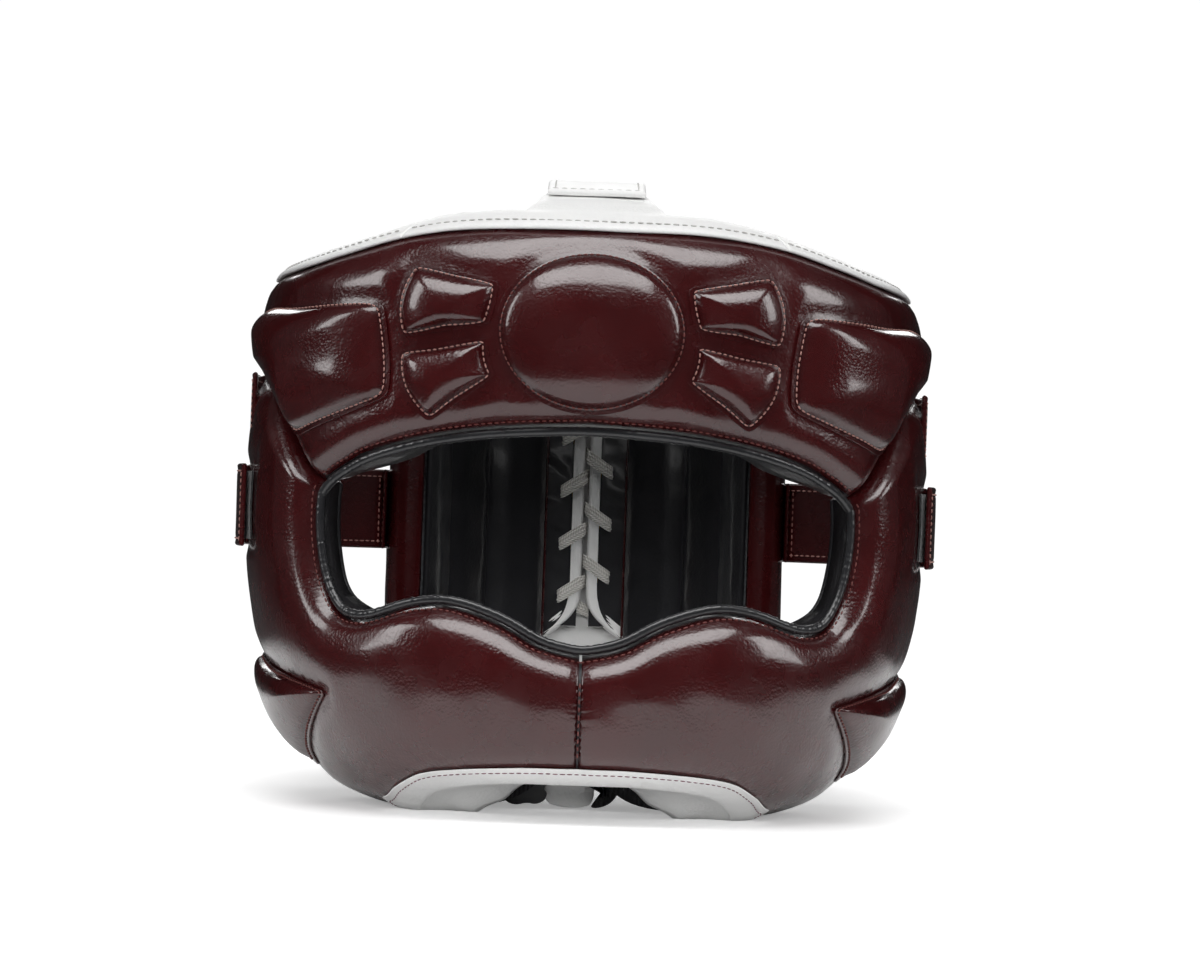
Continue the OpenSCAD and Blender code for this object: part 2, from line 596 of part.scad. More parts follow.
// The lace passes in through the slit, over a binding, out through an eyelet and back
lace_in = placket_d + placket_t + sewn_gap * 2 + binding_t + lace_t / 2;
lace_out = placket_d - sewn_gap * 2 - binding_t - lace_t / 2;
lace_slant = 7;                                  // rise from an eyelet to the slit
function lace_turn(side, z) = [[0, lace_out, z + lace_slant], [0, lace_in, z + lace_slant],
    [side * eyelet_x, lace_in, z], [side * eyelet_x, lace_out, z]];
function lace_corners() = concat(
    [[-9, lace_out, eyelet_z(eyelet_count - 1, 1) + lace_slant]],
    [for (k = [eyelet_count - 1:-1:0])
        each concat(lace_turn(1, eyelet_z(k, 1)), lace_turn(-1, eyelet_z(k, -1)))],
    [[9, lace_out, eyelet_z0 - lace_slant]]);
// Route with each corner cut across at distance r
function rounded(route, r) = concat([route[0]],
    [for (k = [1:len(route) - 2])
        let (p = route[k], a = route[k - 1] - p, b = route[k + 1] - p)
        each [p + a / norm(a) * r, p + b / norm(b) * r]],
    [route[len(route) - 1]]);
module lace() {
    run = rounded(lace_corners(), 1.5);
    m = len(run);
    color(white)
    loft([for (k = [0:m - 1])
        let (a = run[max(k - 1, 0)], b = run[min(k + 1, m - 1)], t = [b[0] - a[0], b[1] - a[1]],
             n = [t[1], -t[0]] / norm(t), p = run[k], e = lace_t / 2, w = lace_w / 2)
        [nape_pt(p[0] + n[0] * e, p[1] + n[1] * e, p[2] + w),
         nape_pt(p[0] + n[0] * e, p[1] + n[1] * e, p[2] - w),
         nape_pt(p[0] - n[0] * e, p[1] - n[1] * e, p[2] - w),
         nape_pt(p[0] - n[0] * e, p[1] - n[1] * e, p[2] + w)]]);
}

// Sheets that lie over the rear pads

// Sheet between plan angles p0 and p1, heights z0 and z1, and depths d0 and d1
module rear_sheet(p0, p1, z0, z1, d0, d1, across, up) {
    zs = [for (k = [0:up]) mix(z0, z1, k / up)];
    loft([for (k = [0:across]) let (ph = mix(p0, p1, k / across)) concat(
        [for (z = zs) rear_pt(ph == 0 ? 0.001 : ph, z, d0)],
        [for (j = [up:-1:0]) rear_pt(ph == 0 ? 0.001 : ph, zs[j], d1)])], false, p0 == -p1);
}
module shell_sheet(t0, t1, z0, z1, d0, d1, across, up, side) {
    zs = [for (k = [0:up]) mix(z0, z1, k / up)];
    mirror([side < 0 ? 1 : 0, 0, 0])
    loft([for (k = [0:across]) let (th = mix(t0, t1, k / across)) concat(
        [for (z = zs) shell_pt(th, z, d0)],
        [for (j = [up:-1:0]) shell_pt(th, zs[j], d1)])]);
}

cover_x = 37;                                    // half width of the lace cover
cover_z0 = 12 * rise;
cover_z1 = 184 * rise;
cover_hook_x = 21;                               // where the hook patch begins
patch_z0 = 60 * rise;                            // lower end of the hook and loop patches
loop_d = -sewn_gap - patch_t;
hook_d = loop_d - sewn_gap - patch_t;
sheet_d = hook_d - sewn_gap;
module lace_cover() {
    color(white)
    rear_sheet(-rear_at(cover_x), rear_at(cover_x), cover_z0, cover_z1, sheet_d, sheet_d - crown_t, 10, 8);
}
module lace_cover_hook() {
    color(black)
    rear_sheet(rear_at(cover_hook_x), rear_at(cover_x - 2), patch_z0, cover_z1 - 6,
               loop_d - sewn_gap, hook_d, 4, 8);
}
module lace_cover_loop() {
    color(black)
    rear_sheet(rear_at(cover_hook_x), rear_at(cover_x + 4), patch_z0, cover_z1 - 6,
               -sewn_gap, loop_d, 4, 8);
}

// Crown: a leather rim on the forehead and rear pads, yokes and the strap between them

rim_in = 28;                                     // depth of the rim on the forehead pad
rim_out = 4;
rim_parts = 4;                                   // facets across a rim or a yoke
crown_y0 = -80;                                  // where the crown's curve leaves the front
crown_y1 = 104;                                  // and meets the back
crown_z0 = brow_top_h + 2;
crown_z1 = rear_top + 3.4;
crown_half = norm([crown_y1 - crown_y0, crown_z1 - crown_z0]) / 2;
crown_sag = brow_top_h + crown_rise - cover_lift - (crown_z0 + crown_z1) / 2;
crown_r = (crown_half * crown_half + crown_sag * crown_sag) / (2 * crown_sag);
crown_up = [crown_z0 - crown_z1, crown_y1 - crown_y0] / (2 * crown_half);
crown_mid = [(crown_y0 + crown_y1) / 2, (crown_z0 + crown_z1) / 2] - crown_up * (crown_r - crown_sag);
plate_w = crown_strap_w + 8;
function crown_at(y, lift) = crown_mid[1] + sqrt(pow(crown_r + lift, 2) - pow(y - crown_mid[0], 2));
function crown_turn(y) = acos((y - crown_mid[0]) / crown_r);
function crown_pt(y, lift) = crown_mid + (crown_r + lift) * [cos(crown_turn(y)), sin(crown_turn(y))];
// Turns a profile of [radius, x] along the crown's curve from y0 to y1
module over_crown(y0, y1) {
    translate([0, crown_mid[0], crown_mid[1]])
    rotate([90, 0, 90])
    rotate([0, 0, crown_turn(y1)])
    rotate_extrude(angle = crown_turn(y0) - crown_turn(y1), $fn = 180)
    children();
}
strap_front_y = -62;                             // the crown strap's sewn end
strap_rear_y = 98;
// Crown leather on the front: rim over the forehead's edge, with a tongue under the strap
module front_rim(angles, tongue) {
    loft([for (th = angles)
        let (t = th == 0 ? 0.001 : th, x = shell_pt(t, brow_high(t), rim_in)[0],
             on = tongue ? 1 - ease((abs(x) - plate_w / 2 + 2) / 4) : 0,
             reach = rim_in + 17 * on,
             row = function(lift) [for (k = [0:rim_parts])
                 let (d = mix(rim_out, reach, k / rim_parts), p = shell_pt(t, brow_high(t), d),
                      own = brow_high(t) + sewn_gap + 0.06 * d,
                      arc = crown_at(p[1], stack_h - sewn_gap - crown_t),
                      z = mix(own, arc, on * ease((d - 6) / 12)))
                 [p[0], p[1], z + lift]],
             low = row(0), high = row(crown_t))
        concat(low, [for (k = [rim_parts:-1:0]) high[k]])], true, tongue);
}
front_fan = [-36, -30, -24, -18, -13, -10, -7.5, -4, 0, 4, 7.5, 10, 13, 18, 24, 30, 36];
module crown_front_yoke() {
    color(white)
    front_rim(front_fan, true);
}
module crown_side_band(side) {
    color(white)
    mirror([side < 0 ? 1 : 0, 0, 0])
    front_rim([36.4, 43, 50, 57, 64, 71, 78, 84], false);
}
module crown_side_band_left() crown_side_band(-1);
module crown_side_band_right() crown_side_band(1);

rear_fan = [-62, -54, -46, -38, -30, -24, -20, -16, -8, 0, 8, 16, 20, 24, 30, 38, 46, 54, 62];
module crown_rear_yoke() {
    color(white)
    loft([for (ph = rear_fan)
        let (t = ph == 0 ? 0.001 : ph, x = rear_pt(t, rear_top, 0)[0],
             on = 1 - ease((abs(x) - plate_w / 2 + 2) / 8),
             reach = rear_t + 0.1 + 18 * on,
             row = function(lift) [for (k = [0:rim_parts])
                 let (d = mix(2.5, reach, k / rim_parts), p = rear_pt(t, rear_top, d),
                      arc = max(crown_at(p[1], -crown_t), rear_top + sewn_gap),
                      z = mix(rear_top + sewn_gap, arc, on * ease((d - 4) / 12)))
                 [p[0], p[1], z + lift]],
             low = row(0), high = row(crown_t))
        concat(low, [for (k = [rim_parts:-1:0]) high[k]])], false, true);
}

strap_steps = 48;
module crown_strap() {
    root = crown_pt(strap_front_y, stack_h + crown_t / 2);
    run = function(lift) [for (k = [0:strap_steps])
        crown_pt(mix(strap_rear_y, strap_front_y, k / strap_steps), lift)];
    under = run(stack_h);
    color(white)
    rotate([90, 0, 90])
    linear_extrude(crown_strap_w, center = true)
    polygon(concat(run(stack_h + crown_t),
        [for (k = [1:7]) let (a = crown_turn(strap_front_y) + 180 * k / 8)
         root + crown_t / 2 * [cos(a), sin(a)]],
        [for (k = [strap_steps:-1:0]) under[k]]));
}
module crown_patch(y0, y1, lift) {
    color(black)
    over_crown(y0, y1)
        translate([crown_r + lift, -crown_strap_w / 2 + 2]) square([patch_t, crown_strap_w - 4]);
}
module crown_strap_hook() crown_patch(74, strap_rear_y - 2, patch_t + 2 * sewn_gap);
module crown_loop_patch() crown_patch(76, strap_rear_y - 4, sewn_gap);

// Side straps: from the rear pads' front edges out to the temples and the cheek columns

// Middle line of a side strap at height z: [x, y] from the rear pad to its landing
function strap_run(z, lift, seat) =
    let (d = -lift - side_strap_t / 2,
         a = [rear_w / 2 + sewn_gap + side_strap_t / 2, rear_y + 5],
         p = shell_pt(94, z, d - 0.6), b = [p[0], p[1]],
         near_a = [mix(a[0], b[0], 0.3), a[1] - 9], near_b = [b[0] - 2, b[1] + 12],
         land = [for (k = [0:4]) let (q = shell_pt(mix(90, seat, k / 4), z, d)) [q[0], q[1]]])
    concat([for (k = [0:5]) let (v = k / 6, w = 1 - v)
            a * w * w * w + near_a * 3 * v * w * w + near_b * 3 * v * v * w + b * v * v * v],
           [b], land);
module side_strap(z, h, lift, seat, side) {
    mirror([side < 0 ? 1 : 0, 0, 0])
    loft([for (k = [0:11])
        concat([for (u = [-1, 0, 1]) strap_side(z + u * h / 2, k, 1, lift, seat)],
               [for (u = [1, 0, -1]) strap_side(z + u * h / 2, k, -1, lift, seat)])], true);
}
function strap_side(z, k, s, lift, seat) =
    let (run = strap_run(z, lift, seat), t = run[min(k + 1, len(run) - 1)] - run[max(k - 1, 0)],
         n = [-t[1], t[0]] / norm(t), p = run[k] + n * s * side_strap_t / 2)
    [p[0], p[1], z];

temple_strap_z = 137 * rise;
ear_strap_z = 102 * rise;
module temple_strap_left() color(burgundy) side_strap(temple_strap_z, temple_strap_h, sewn_gap, 80, -1);
module temple_strap_right() color(burgundy) side_strap(temple_strap_z, temple_strap_h, sewn_gap, 80, 1);
module ear_strap_left() color(burgundy) side_strap(ear_strap_z, ear_strap_h, stack_h, ear_seat, -1);
module ear_strap_right() color(burgundy) side_strap(ear_strap_z, ear_strap_h, stack_h, ear_seat, 1);
ear_patch_h = ear_strap_h - 5;
ear_seat = 74;                                   // plan angle of the ear straps' ends
// Patch under an ear strap over steps of its landing, from depth d0 outwards
module ear_patch(side, d0, steps) {
    color(black)
    shell_sheet(mix(90, ear_seat, 0.25), mix(90, ear_seat, 0.25 * (steps + 1)),
                ear_strap_z - ear_patch_h / 2, ear_strap_z + ear_patch_h / 2,
                d0, d0 - patch_t, steps, 2, side);
}
module ear_strap_hook_left() ear_patch(-1, loop_d - sewn_gap, 2);
module ear_strap_hook_right() ear_patch(1, loop_d - sewn_gap, 2);
module ear_loop_patch_left() ear_patch(-1, -sewn_gap, 3);
module ear_loop_patch_right() ear_patch(1, -sewn_gap, 3);

// Chin webbing: two straps from the jaws that meet under the chin

chin_y = -40;                                    // middle of the webbing
chin_lift = 10;                                  // the lower strap's height in the middle
chin_lap = 11;                                   // how far each strap passes the middle
chin_level = 9;                                  // where a strap's slope ends
anchor_t = 1.6;
anchor_d = leather_t + 3 * sewn_gap;             // the anchors lie on the facing
anchor_up = 5;                                   // height of a strap's root on its anchor
root_d = anchor_d + anchor_t + 3 * sewn_gap + chin_strap_t / 2;
// Point of column s on the inside of the jaw, up from its lower edge and d clear of the lining
function jaw_pt(s, up, d) =
    let (c = face_col(s, 1), h = band_len(c), leg = function(v) band_pt(c, h - v, c[2] + d))
    mix(leg(0), leg(facing_in / 2), up * 2 / facing_in);
root_front = jaw_pt(0.63, anchor_up, root_d);
root_rear = jaw_pt(0.55, anchor_up, root_d);
function root_at(y) = mix(root_front, root_rear, (y - root_front[1]) / (root_rear[1] - root_front[1]));
// Webbing strap: a round root at the jaw, a slope and a level lap at height lift
module chin_strap(side, lift) {
    t = chin_strap_t;
    color(black)
    mirror([side < 0 ? 1 : 0, 0, 0])
    loft([for (y = [chin_y - chin_strap_w / 2, chin_y + chin_strap_w / 2])
        let (root = root_at(y), end = function(a) root + t / 2 * [cos(a), 0, sin(a)],
             row = function(up) [for (x = [-chin_lap, chin_level]) [x, y, lift + up]])
        concat(row(0), [for (a = [-90:30:0]) end(a)],
               [for (a = [1, 30, 60, 90]) end(a)], [row(t)[1], row(t)[0]])]);
}
module chin_strap_right() chin_strap(1, chin_lift);
module chin_strap_left() chin_strap(-1, chin_lift + chin_strap_t + stack_h);
module chin_patch(z) {
    color(black)
    translate([-8, chin_y - chin_strap_w / 2 + 2, z]) cube([16, chin_strap_w - 4, patch_t]);
}
module chin_strap_loop() chin_patch(chin_lift + chin_strap_t + sewn_gap);
module chin_strap_hook() chin_patch(chin_lift + chin_strap_t + patch_t + 2 * sewn_gap);
module chin_anchor(side) {
    color(black)
    mirror([side < 0 ? 1 : 0, 0, 0])
    loft([for (s = [0.55, 0.59, 0.63]) let (up = [0, facing_in / 4, facing_in / 2]) concat(
        [for (v = up) jaw_pt(s, v, anchor_d)],
        [for (k = [2:-1:0]) jaw_pt(s, up[k], anchor_d + anchor_t)])], true);
}
module chin_anchor_left() chin_anchor(-1);
module chin_anchor_right() chin_anchor(1);

forehead_cover();
forehead_foam();
forehead_lining();
forehead_round_puff();
fan_puff_upper_left();
fan_puff_lower_left();
fan_puff_upper_right();
fan_puff_lower_right();
temple_puff_left();
temple_puff_right();
face_cover_left();
face_cover_right();
face_foam();
face_lining_left();
face_lining_right();
jaw_puff_left();
jaw_puff_right();
eye_piping();
chin_facing();
crown_front_yoke();
crown_rear_yoke();
crown_side_band_left();
crown_side_band_right();
crown_strap();
crown_strap_hook();
crown_loop_patch();
rear_cover_left();
rear_cover_right();
rear_foam_left();
rear_foam_right();
rear_lining_left();
rear_lining_right();
nape_binding_left();
nape_binding_right();
lacing_placket_left();
lacing_placket_right();
placket_binding_left();
placket_binding_right();
eyelets_left();
eyelets_right();
lace();
lace_cover();
lace_cover_hook();
lace_cover_loop();
temple_strap_left();
temple_strap_right();
ear_strap_left();
ear_strap_right();
ear_strap_hook_left();
ear_strap_hook_right();
ear_loop_patch_left();
ear_loop_patch_right();
chin_strap_left();
chin_strap_right();
chin_strap_hook();
chin_strap_loop();
chin_anchor_left();
chin_anchor_right();
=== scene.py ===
import math

import bmesh
import bpy
import numpy as np
from mathutils import Matrix, Vector


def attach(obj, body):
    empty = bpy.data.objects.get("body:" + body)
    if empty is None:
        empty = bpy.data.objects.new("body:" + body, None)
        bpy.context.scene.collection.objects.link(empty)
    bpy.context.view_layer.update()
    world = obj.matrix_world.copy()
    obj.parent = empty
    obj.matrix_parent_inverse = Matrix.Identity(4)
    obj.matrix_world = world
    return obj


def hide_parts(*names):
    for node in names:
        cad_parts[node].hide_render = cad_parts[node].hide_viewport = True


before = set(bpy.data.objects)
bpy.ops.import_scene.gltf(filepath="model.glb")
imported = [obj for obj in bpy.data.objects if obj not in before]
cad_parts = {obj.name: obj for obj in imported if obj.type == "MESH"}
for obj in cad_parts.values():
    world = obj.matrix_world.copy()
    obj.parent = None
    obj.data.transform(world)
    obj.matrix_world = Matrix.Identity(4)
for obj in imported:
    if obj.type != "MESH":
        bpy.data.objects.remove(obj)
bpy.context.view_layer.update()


# Camera
# The guard is seen level with the cheeks from 1.5 m, with a long portrait lens.
# It was stood a little crooked, so the camera rolls 2 degrees the other way.
CAMERA_AT = Vector((0.0, -1.5, 0.106))
AIM = Vector((0.0047, 0.0, 0.1152))
ROLL_DEG = 2.0
LENS_MM = 125.0

camera_data = bpy.data.cameras.new("portrait_camera")
camera_data.lens = LENS_MM
camera_data.sensor_width = 36.0
camera_data.clip_start = 0.01
camera = bpy.data.objects.new("portrait_camera", camera_data)
bpy.context.collection.objects.link(camera)
look = (AIM - CAMERA_AT).normalized()
level = look.cross(Vector((0, 0, 1))).normalized()
lean = Matrix.Rotation(-math.radians(ROLL_DEG), 3, look)
across, upright = lean @ level, lean @ level.cross(look)
turn = Matrix((across, upright, -look)).transposed()
camera.matrix_world = Matrix.Translation(CAMERA_AT) @ turn.to_4x4()
bpy.context.scene.camera = camera


# Studio
# White paper sweep under and behind the guard. A broad softbox hangs above the camera,
# one stands at each side, a low one in front and one behind. The paper's pale glow lies
# on the lower half of every pad.
def linear(code):
    """sRGB hex colour as linear RGBA."""
    parts = [int(code[i:i + 2], 16) / 255 for i in (1, 3, 5)]
    return [p / 12.92 if p <= 0.04045 else ((p + 0.055) / 1.055) ** 2.4 for p in parts] + [1.0]


def add(tree, kind, links=None, **settings):
    """Adds a node to a tree, sets its values and links its named or numbered inputs."""
    node = tree.nodes.new(kind)
    for key, value in settings.items():
        setattr(node, key, value)
    for socket, source in (links or {}).items():
        if isinstance(source, bpy.types.NodeSocket):
            tree.links.new(source, node.inputs[socket])
        else:
            node.inputs[socket].default_value = source
    return node


def finish_material(name):
    """New material with nodes; returns it, its tree and its Principled shader."""
    made = bpy.data.materials.new(name)
    made.use_nodes = True
    return made, made.node_tree, made.node_tree.nodes["Principled BSDF"]


# Matt white paper. The camera sees it pure white; the hide sees a pale floor round the guard whose colour
# darkens further out, painted shade for the studio's light falling off, so only its lower half turns pale
PAPER, PAPER_FAR_SHADE = "#f4f4f4", "#2e2e2f"
GLOW_NEAR, GLOW_FULL, GLOW_LEAST = 0.14, 0.36, 0.3
DARKER_FROM, DARK_FROM = 0.36, 0.62
FLOOR_SHAPE = (1.8, 0.85, 1.0)
paper, tree, shader = finish_material("white_paper_sweep")
shader.inputs["Roughness"].default_value = 0.9
rays = add(tree, "ShaderNodeLightPath")
seen = add(tree, "ShaderNodeMath", {0: rays.outputs["Is Camera Ray"], 1: rays.outputs["Is Transmission Ray"]},
           operation="MAXIMUM")
spot = add(tree, "ShaderNodeTexCoord").outputs["Object"]
oval = add(tree, "ShaderNodeVectorMath", {0: spot, 1: FLOOR_SHAPE}, operation="MULTIPLY")
away = add(tree, "ShaderNodeVectorMath", {0: oval.outputs["Vector"]}, operation="LENGTH").outputs["Value"]
paling = add(tree, "ShaderNodeMapRange", {"Value": away, "From Min": GLOW_NEAR, "From Max": GLOW_FULL,
                                          "To Min": GLOW_LEAST, "To Max": 1.0},
             interpolation_type="SMOOTHSTEP")
# Painted shade: the paper's colour darkens from DARKER_FROM to DARK_FROM m out, where a studio's light would
# fall off
dark = add(tree, "ShaderNodeMapRange", {"Value": away, "From Min": DARKER_FROM, "From Max": DARK_FROM},
           interpolation_type="SMOOTHSTEP")
tone = add(tree, "ShaderNodeMix",
           {"Factor": dark.outputs["Result"], "A": linear(PAPER), "B": linear(PAPER_FAR_SHADE)}, data_type="RGBA")
tree.links.new(tone.outputs["Result"], shader.inputs["Base Color"])
glow = add(tree, "ShaderNodeMath", {0: seen.outputs[0], 1: paling.outputs["Result"]}, operation="MULTIPLY")
tree.links.new(glow.outputs[0], shader.inputs["Emission Strength"])
shader.inputs["Emission Color"].default_value = (1, 1, 1, 1)

SWEEP_HALF = 3.0
SWEEP = [(-2.6, 0.0), (1.2, 0.0), (1.5, 0.03), (1.75, 0.13), (1.93, 0.32), (2.0, 0.6), (2.0, 2.6)]
sheet_mesh = bpy.data.meshes.new("paper_sweep")
sheet_mesh.from_pydata(
    [(x, y, z) for x in (-SWEEP_HALF, SWEEP_HALF) for y, z in SWEEP], [],
    [(k, k + len(SWEEP), k + len(SWEEP) + 1, k + 1) for k in range(len(SWEEP) - 1)])
sweep = bpy.data.objects.new("paper_sweep", sheet_mesh)
bpy.context.collection.objects.link(sweep)
sweep.data.materials.append(paper)
for polygon in sweep.data.polygons:
    polygon.use_smooth = True


def softbox(name, at, aim, width, height, watts):
    """Rectangular lamp at a point, turned towards another."""
    lamp = bpy.data.lights.new(name, "AREA")
    lamp.shape = "RECTANGLE"
    lamp.size, lamp.size_y, lamp.energy = width, height, watts
    made = bpy.data.objects.new(name, lamp)
    bpy.context.collection.objects.link(made)
    made.location = at
    made.rotation_euler = (Vector(aim) - Vector(at)).to_track_quat("-Z", "Y").to_euler()
    return made


MIDDLE = (0, 0, 0.1)
softbox("softbox_above", (0.0, -0.48, 1.55), MIDDLE, 1.7, 0.8, 15.5)
softbox("softbox_left", (-1.5, -0.35, 0.95), MIDDLE, 0.5, 0.9, 5.0)
softbox("softbox_right", (1.5, -0.35, 0.95), MIDDLE, 0.5, 0.9, 5.0)
# The low lamp lights the jaws and the chin, and leaves no bright patch on the hide
low = softbox("softbox_low", (0.0, -1.6, 0.4), (0, 0, 0.08), 1.4, 0.4, 12.5)
low.visible_glossy = False
softbox("softbox_behind", (0.0, 1.5, 0.9), MIDDLE, 1.4, 0.5, 7.5)

# The camera sees white air; everything else sees a nearly dark room
world = bpy.data.worlds.new("studio")
bpy.context.scene.world = world
world.use_nodes = True
tree = world.node_tree
air = tree.nodes["Background"]
rays = add(tree, "ShaderNodeLightPath")
backdrop = add(tree, "ShaderNodeMix",
               {"Factor": rays.outputs["Is Camera Ray"], "A": (0.03, 0.03, 0.031, 1), "B": (1, 1, 1, 1)},
               data_type="RGBA")
tree.links.new(backdrop.outputs["Result"], air.inputs["Color"])
bpy.context.scene.view_settings.view_transform = "Standard"


# Hide puffs
# Nine domed pads of glazed oxblood cowhide over foam: a round one on the brow, four
# fans beside it, one on each temple and one on each jaw. Each is sewn to the cover
# 2 mm inside its edge, which draws the hide into a groove with short gathers.

# The whole shell in mm: half width and depth to the front, by height
SHELL_SQUARENESS = 2.3
SIDE = [(0, 78), (9, 90), (20, 100), (40, 109), (60, 116), (95, 120.5), (125, 120), (150, 117.5),
        (180, 115), (203, 98)]
FRONT = [(0, 119), (20, 129), (40, 132), (60, 130.5), (78, 127), (115, 117), (150, 111), (180, 106.5),
         (203, 95)]
FRONT_SCALE = 131 / 132
BEHIND_RUN = 2.2

# Edges of the pads: the forehead's lower edge and crest as plan angle and height, then
# the eye opening and the outer edge of the face from the forehead seam to the middle
BROW_EDGE = [(0, 132.5), (12, 130.8), (22, 128.2), (31, 124.6), (39, 120.4), (45.5, 115.2), (50.8, 112),
             (57, 121), (71, 141.5), (82, 149), (94, 152)]
BROW_CREST = [(0, 203), (20, 202.5), (35, 199.5), (50, 193.5), (62, 189.5), (78, 187), (94, 184)]
EYE_EDGE = [(0, (50.8, 110.8)), (0.12, (51.3, 102)), (0.25, (51.1, 89.5)), (0.36, (49.2, 76)),
            (0.44, (45, 66.4)), (0.52, (38, 64.8)), (0.62, (27.4, 69.9)), (0.7, (20, 71)),
            (0.8, (11.6, 66.2)), (0.9, (5.2, 59)), (1, (0, 55.8))]
OUTER_EDGE = [(0, (94, 150.8)), (0.12, (94, 126)), (0.25, (93, 92)), (0.36, (91.5, 60)),
              (0.44, (88.5, 34)), (0.5, (84, 11.4)), (0.56, (75, 0.3)), (0.62, (63, 0.3)),
              (0.68, (51, 0.5)), (0.74, (41.5, 5.2)), (0.8, (32.2, 10.2)), (0.87, (22.6, 12.6)),
              (0.94, (9.4, 13.9)), (1, (0, 14))]
HIDE_MM = 1.2
SEWN_GAP = 0.3
DYE_PATCH, POLISH_PATCH = 0.028, 0.012


def mix(a, b, t):
    return a + (b - a) * t


def ease(t):
    u = np.clip(t, 0, 1)
    return u * u * (3 - 2 * u)


def curve(table, key):
    """Smooth curve through (key, value) rows, where a value is a number or a point."""
    keys = np.array([row[0] for row in table], float)
    values = np.array([row[1] for row in table], float).reshape(len(keys), -1)
    order = np.arange(len(keys))
    before, after = np.maximum(order - 1, 0), np.minimum(order + 1, len(keys) - 1)
    slopes = (values[after] - values[before]) / (keys[after] - keys[before])[:, None]
    key = np.clip(np.asarray(key, float), keys[0], keys[-1])
    i = np.clip(np.searchsorted(keys, key, side="right") - 1, 0, len(keys) - 2)
    h = (keys[i + 1] - keys[i])[..., None]
    s = (key - keys[i])[..., None] / h
    out = (values[i] * (2 * s**3 - 3 * s**2 + 1) + slopes[i] * h * (s**3 - 2 * s**2 + s)
           + values[i + 1] * (3 * s**2 - 2 * s**3) + slopes[i + 1] * h * (s**3 - s**2))
    return out[..., 0] if np.ndim(table[0][1]) == 0 else out


def shell(angle, z, depth):
    """Points of the guard's front half in mm: plan angle from the face, height, depth."""
    angle, z, depth = np.broadcast_arrays(*[np.asarray(value, float) for value in (angle, z, depth)])
    a, b = curve(SIDE, z), curve(FRONT, z) * FRONT_SCALE
    t = np.radians(np.clip(np.abs(angle), 1e-3, 90))
    sine, cosine = np.sin(t), np.maximum(np.cos(t), 1e-9)
    nx, ny = sine ** (2 - 2 / SHELL_SQUARENESS) / a, cosine ** (2 - 2 / SHELL_SQUARENESS) / b
    n = np.hypot(nx, ny)
    x = np.sign(angle) * (a * sine ** (2 / SHELL_SQUARENESS) - depth * nx / n)
    y = np.maximum(np.abs(angle) - 90, 0) * BEHIND_RUN - b * cosine ** (2 / SHELL_SQUARENESS) + depth * ny / n
    return np.stack([x, y, np.maximum(z, 0)], -1)


def seen_at(x, z):
    """Plan angle of the shell point that is seen at x from the front."""
    out = np.minimum(np.abs(x) / curve(SIDE, z), 1)
    return np.sign(x) * np.degrees(np.arcsin(out ** (SHELL_SQUARENESS / 2)))


def brow_low(angle):
    return curve(BROW_EDGE, np.abs(angle))


def brow_high(angle):
    return curve(BROW_CREST, np.abs(angle))


def nearest(points, line):
    """Distance in mm from each point to a line of points, and the run along it to there."""
    flat = points.reshape(-1, 3)
    run = np.r_[0, np.cumsum(np.linalg.norm(np.diff(line, axis=0), axis=1))]
    far, where = np.empty(len(flat)), np.empty(len(flat))
    for k in range(0, len(flat), 4000):
        gaps = np.linalg.norm(flat[k:k + 4000, None] - line[None], axis=2)
        best = gaps.argmin(1)
        far[k:k + 4000], where[k:k + 4000] = gaps[np.arange(len(best)), best], run[best]
    return far.reshape(points.shape[:-1]), where.reshape(points.shape[:-1])


# The pads' faces curl inwards over the last 20 mm before every edge
CURL_REACH, CURL_DEEP = 20.0, 3.4
brow_fan = np.linspace(-94, 94, 260)
pad_share = np.linspace(0, 1, 130)
eye_line, outer_line = curve(EYE_EDGE, pad_share), curve(OUTER_EDGE, pad_share)
BROW_EDGES = [shell(brow_fan, brow_low(brow_fan), 0), shell(brow_fan, brow_high(brow_fan), 0)]
FACE_EDGES = [shell(eye_line[:, 0], eye_line[:, 1], 0), shell(outer_line[:, 0], outer_line[:, 1], 0)]


def edge_gaps(points, edges):
    """Distance to each edge line of a pad; the face's left half is laid over its right."""
    if edges is FACE_EDGES:
        points = np.abs(points) * [1, 0, 1] + points * [0, 1, 0]
    return [nearest(points, line)[0] for line in edges]


def curl(points, edges):
    """How far in mm a pad's face lies below the plain shell near the pad's edges."""
    total = np.zeros(points.shape[:-1])
    for gap in edge_gaps(points, edges):
        total += CURL_DEEP * np.clip(1 - gap / CURL_REACH, 0, 1) ** 2
    return total


def ripple(points, size, seed):
    """Soft unevenness from -1 to 1 over patches of about that size in mm."""
    dice = np.random.default_rng(seed)
    way = dice.normal(size=(14, 3))
    way *= (2 * np.pi / size / dice.uniform(0.7, 1.9, 14) / np.linalg.norm(way, axis=1))[:, None]
    return np.sin(points @ way.T + dice.uniform(0, 2 * np.pi, 14)).mean(-1) * 2.2


def gathers(run, inward, length, pitch, reach, seed):
    """Short creases from a sewn edge, six waves deep: 0 flat to about 1 in a crease."""
    dice = np.random.default_rng(seed)
    total = 0
    for _ in range(6):
        count = max(round(length / pitch * dice.uniform(0.55, 1.5)), 3)
        start, slant = dice.uniform(0, 6.3), dice.uniform(-0.12, 0.12)
        wave = np.sin(np.pi * count * run / length + start + slant * inward)
        total = total + (1 - np.abs(wave)) ** 2 * np.exp(-inward / (reach * dice.uniform(0.4, 1.3)))
    return total / 2.6


def outward(mesh):
    """Turns every face of a closed mesh outwards and shades it smooth."""
    work = bmesh.new()
    work.from_mesh(mesh)
    bmesh.ops.recalc_face_normals(work, faces=work.faces)
    work.to_mesh(mesh)
    work.free()
    mesh.shade_smooth()


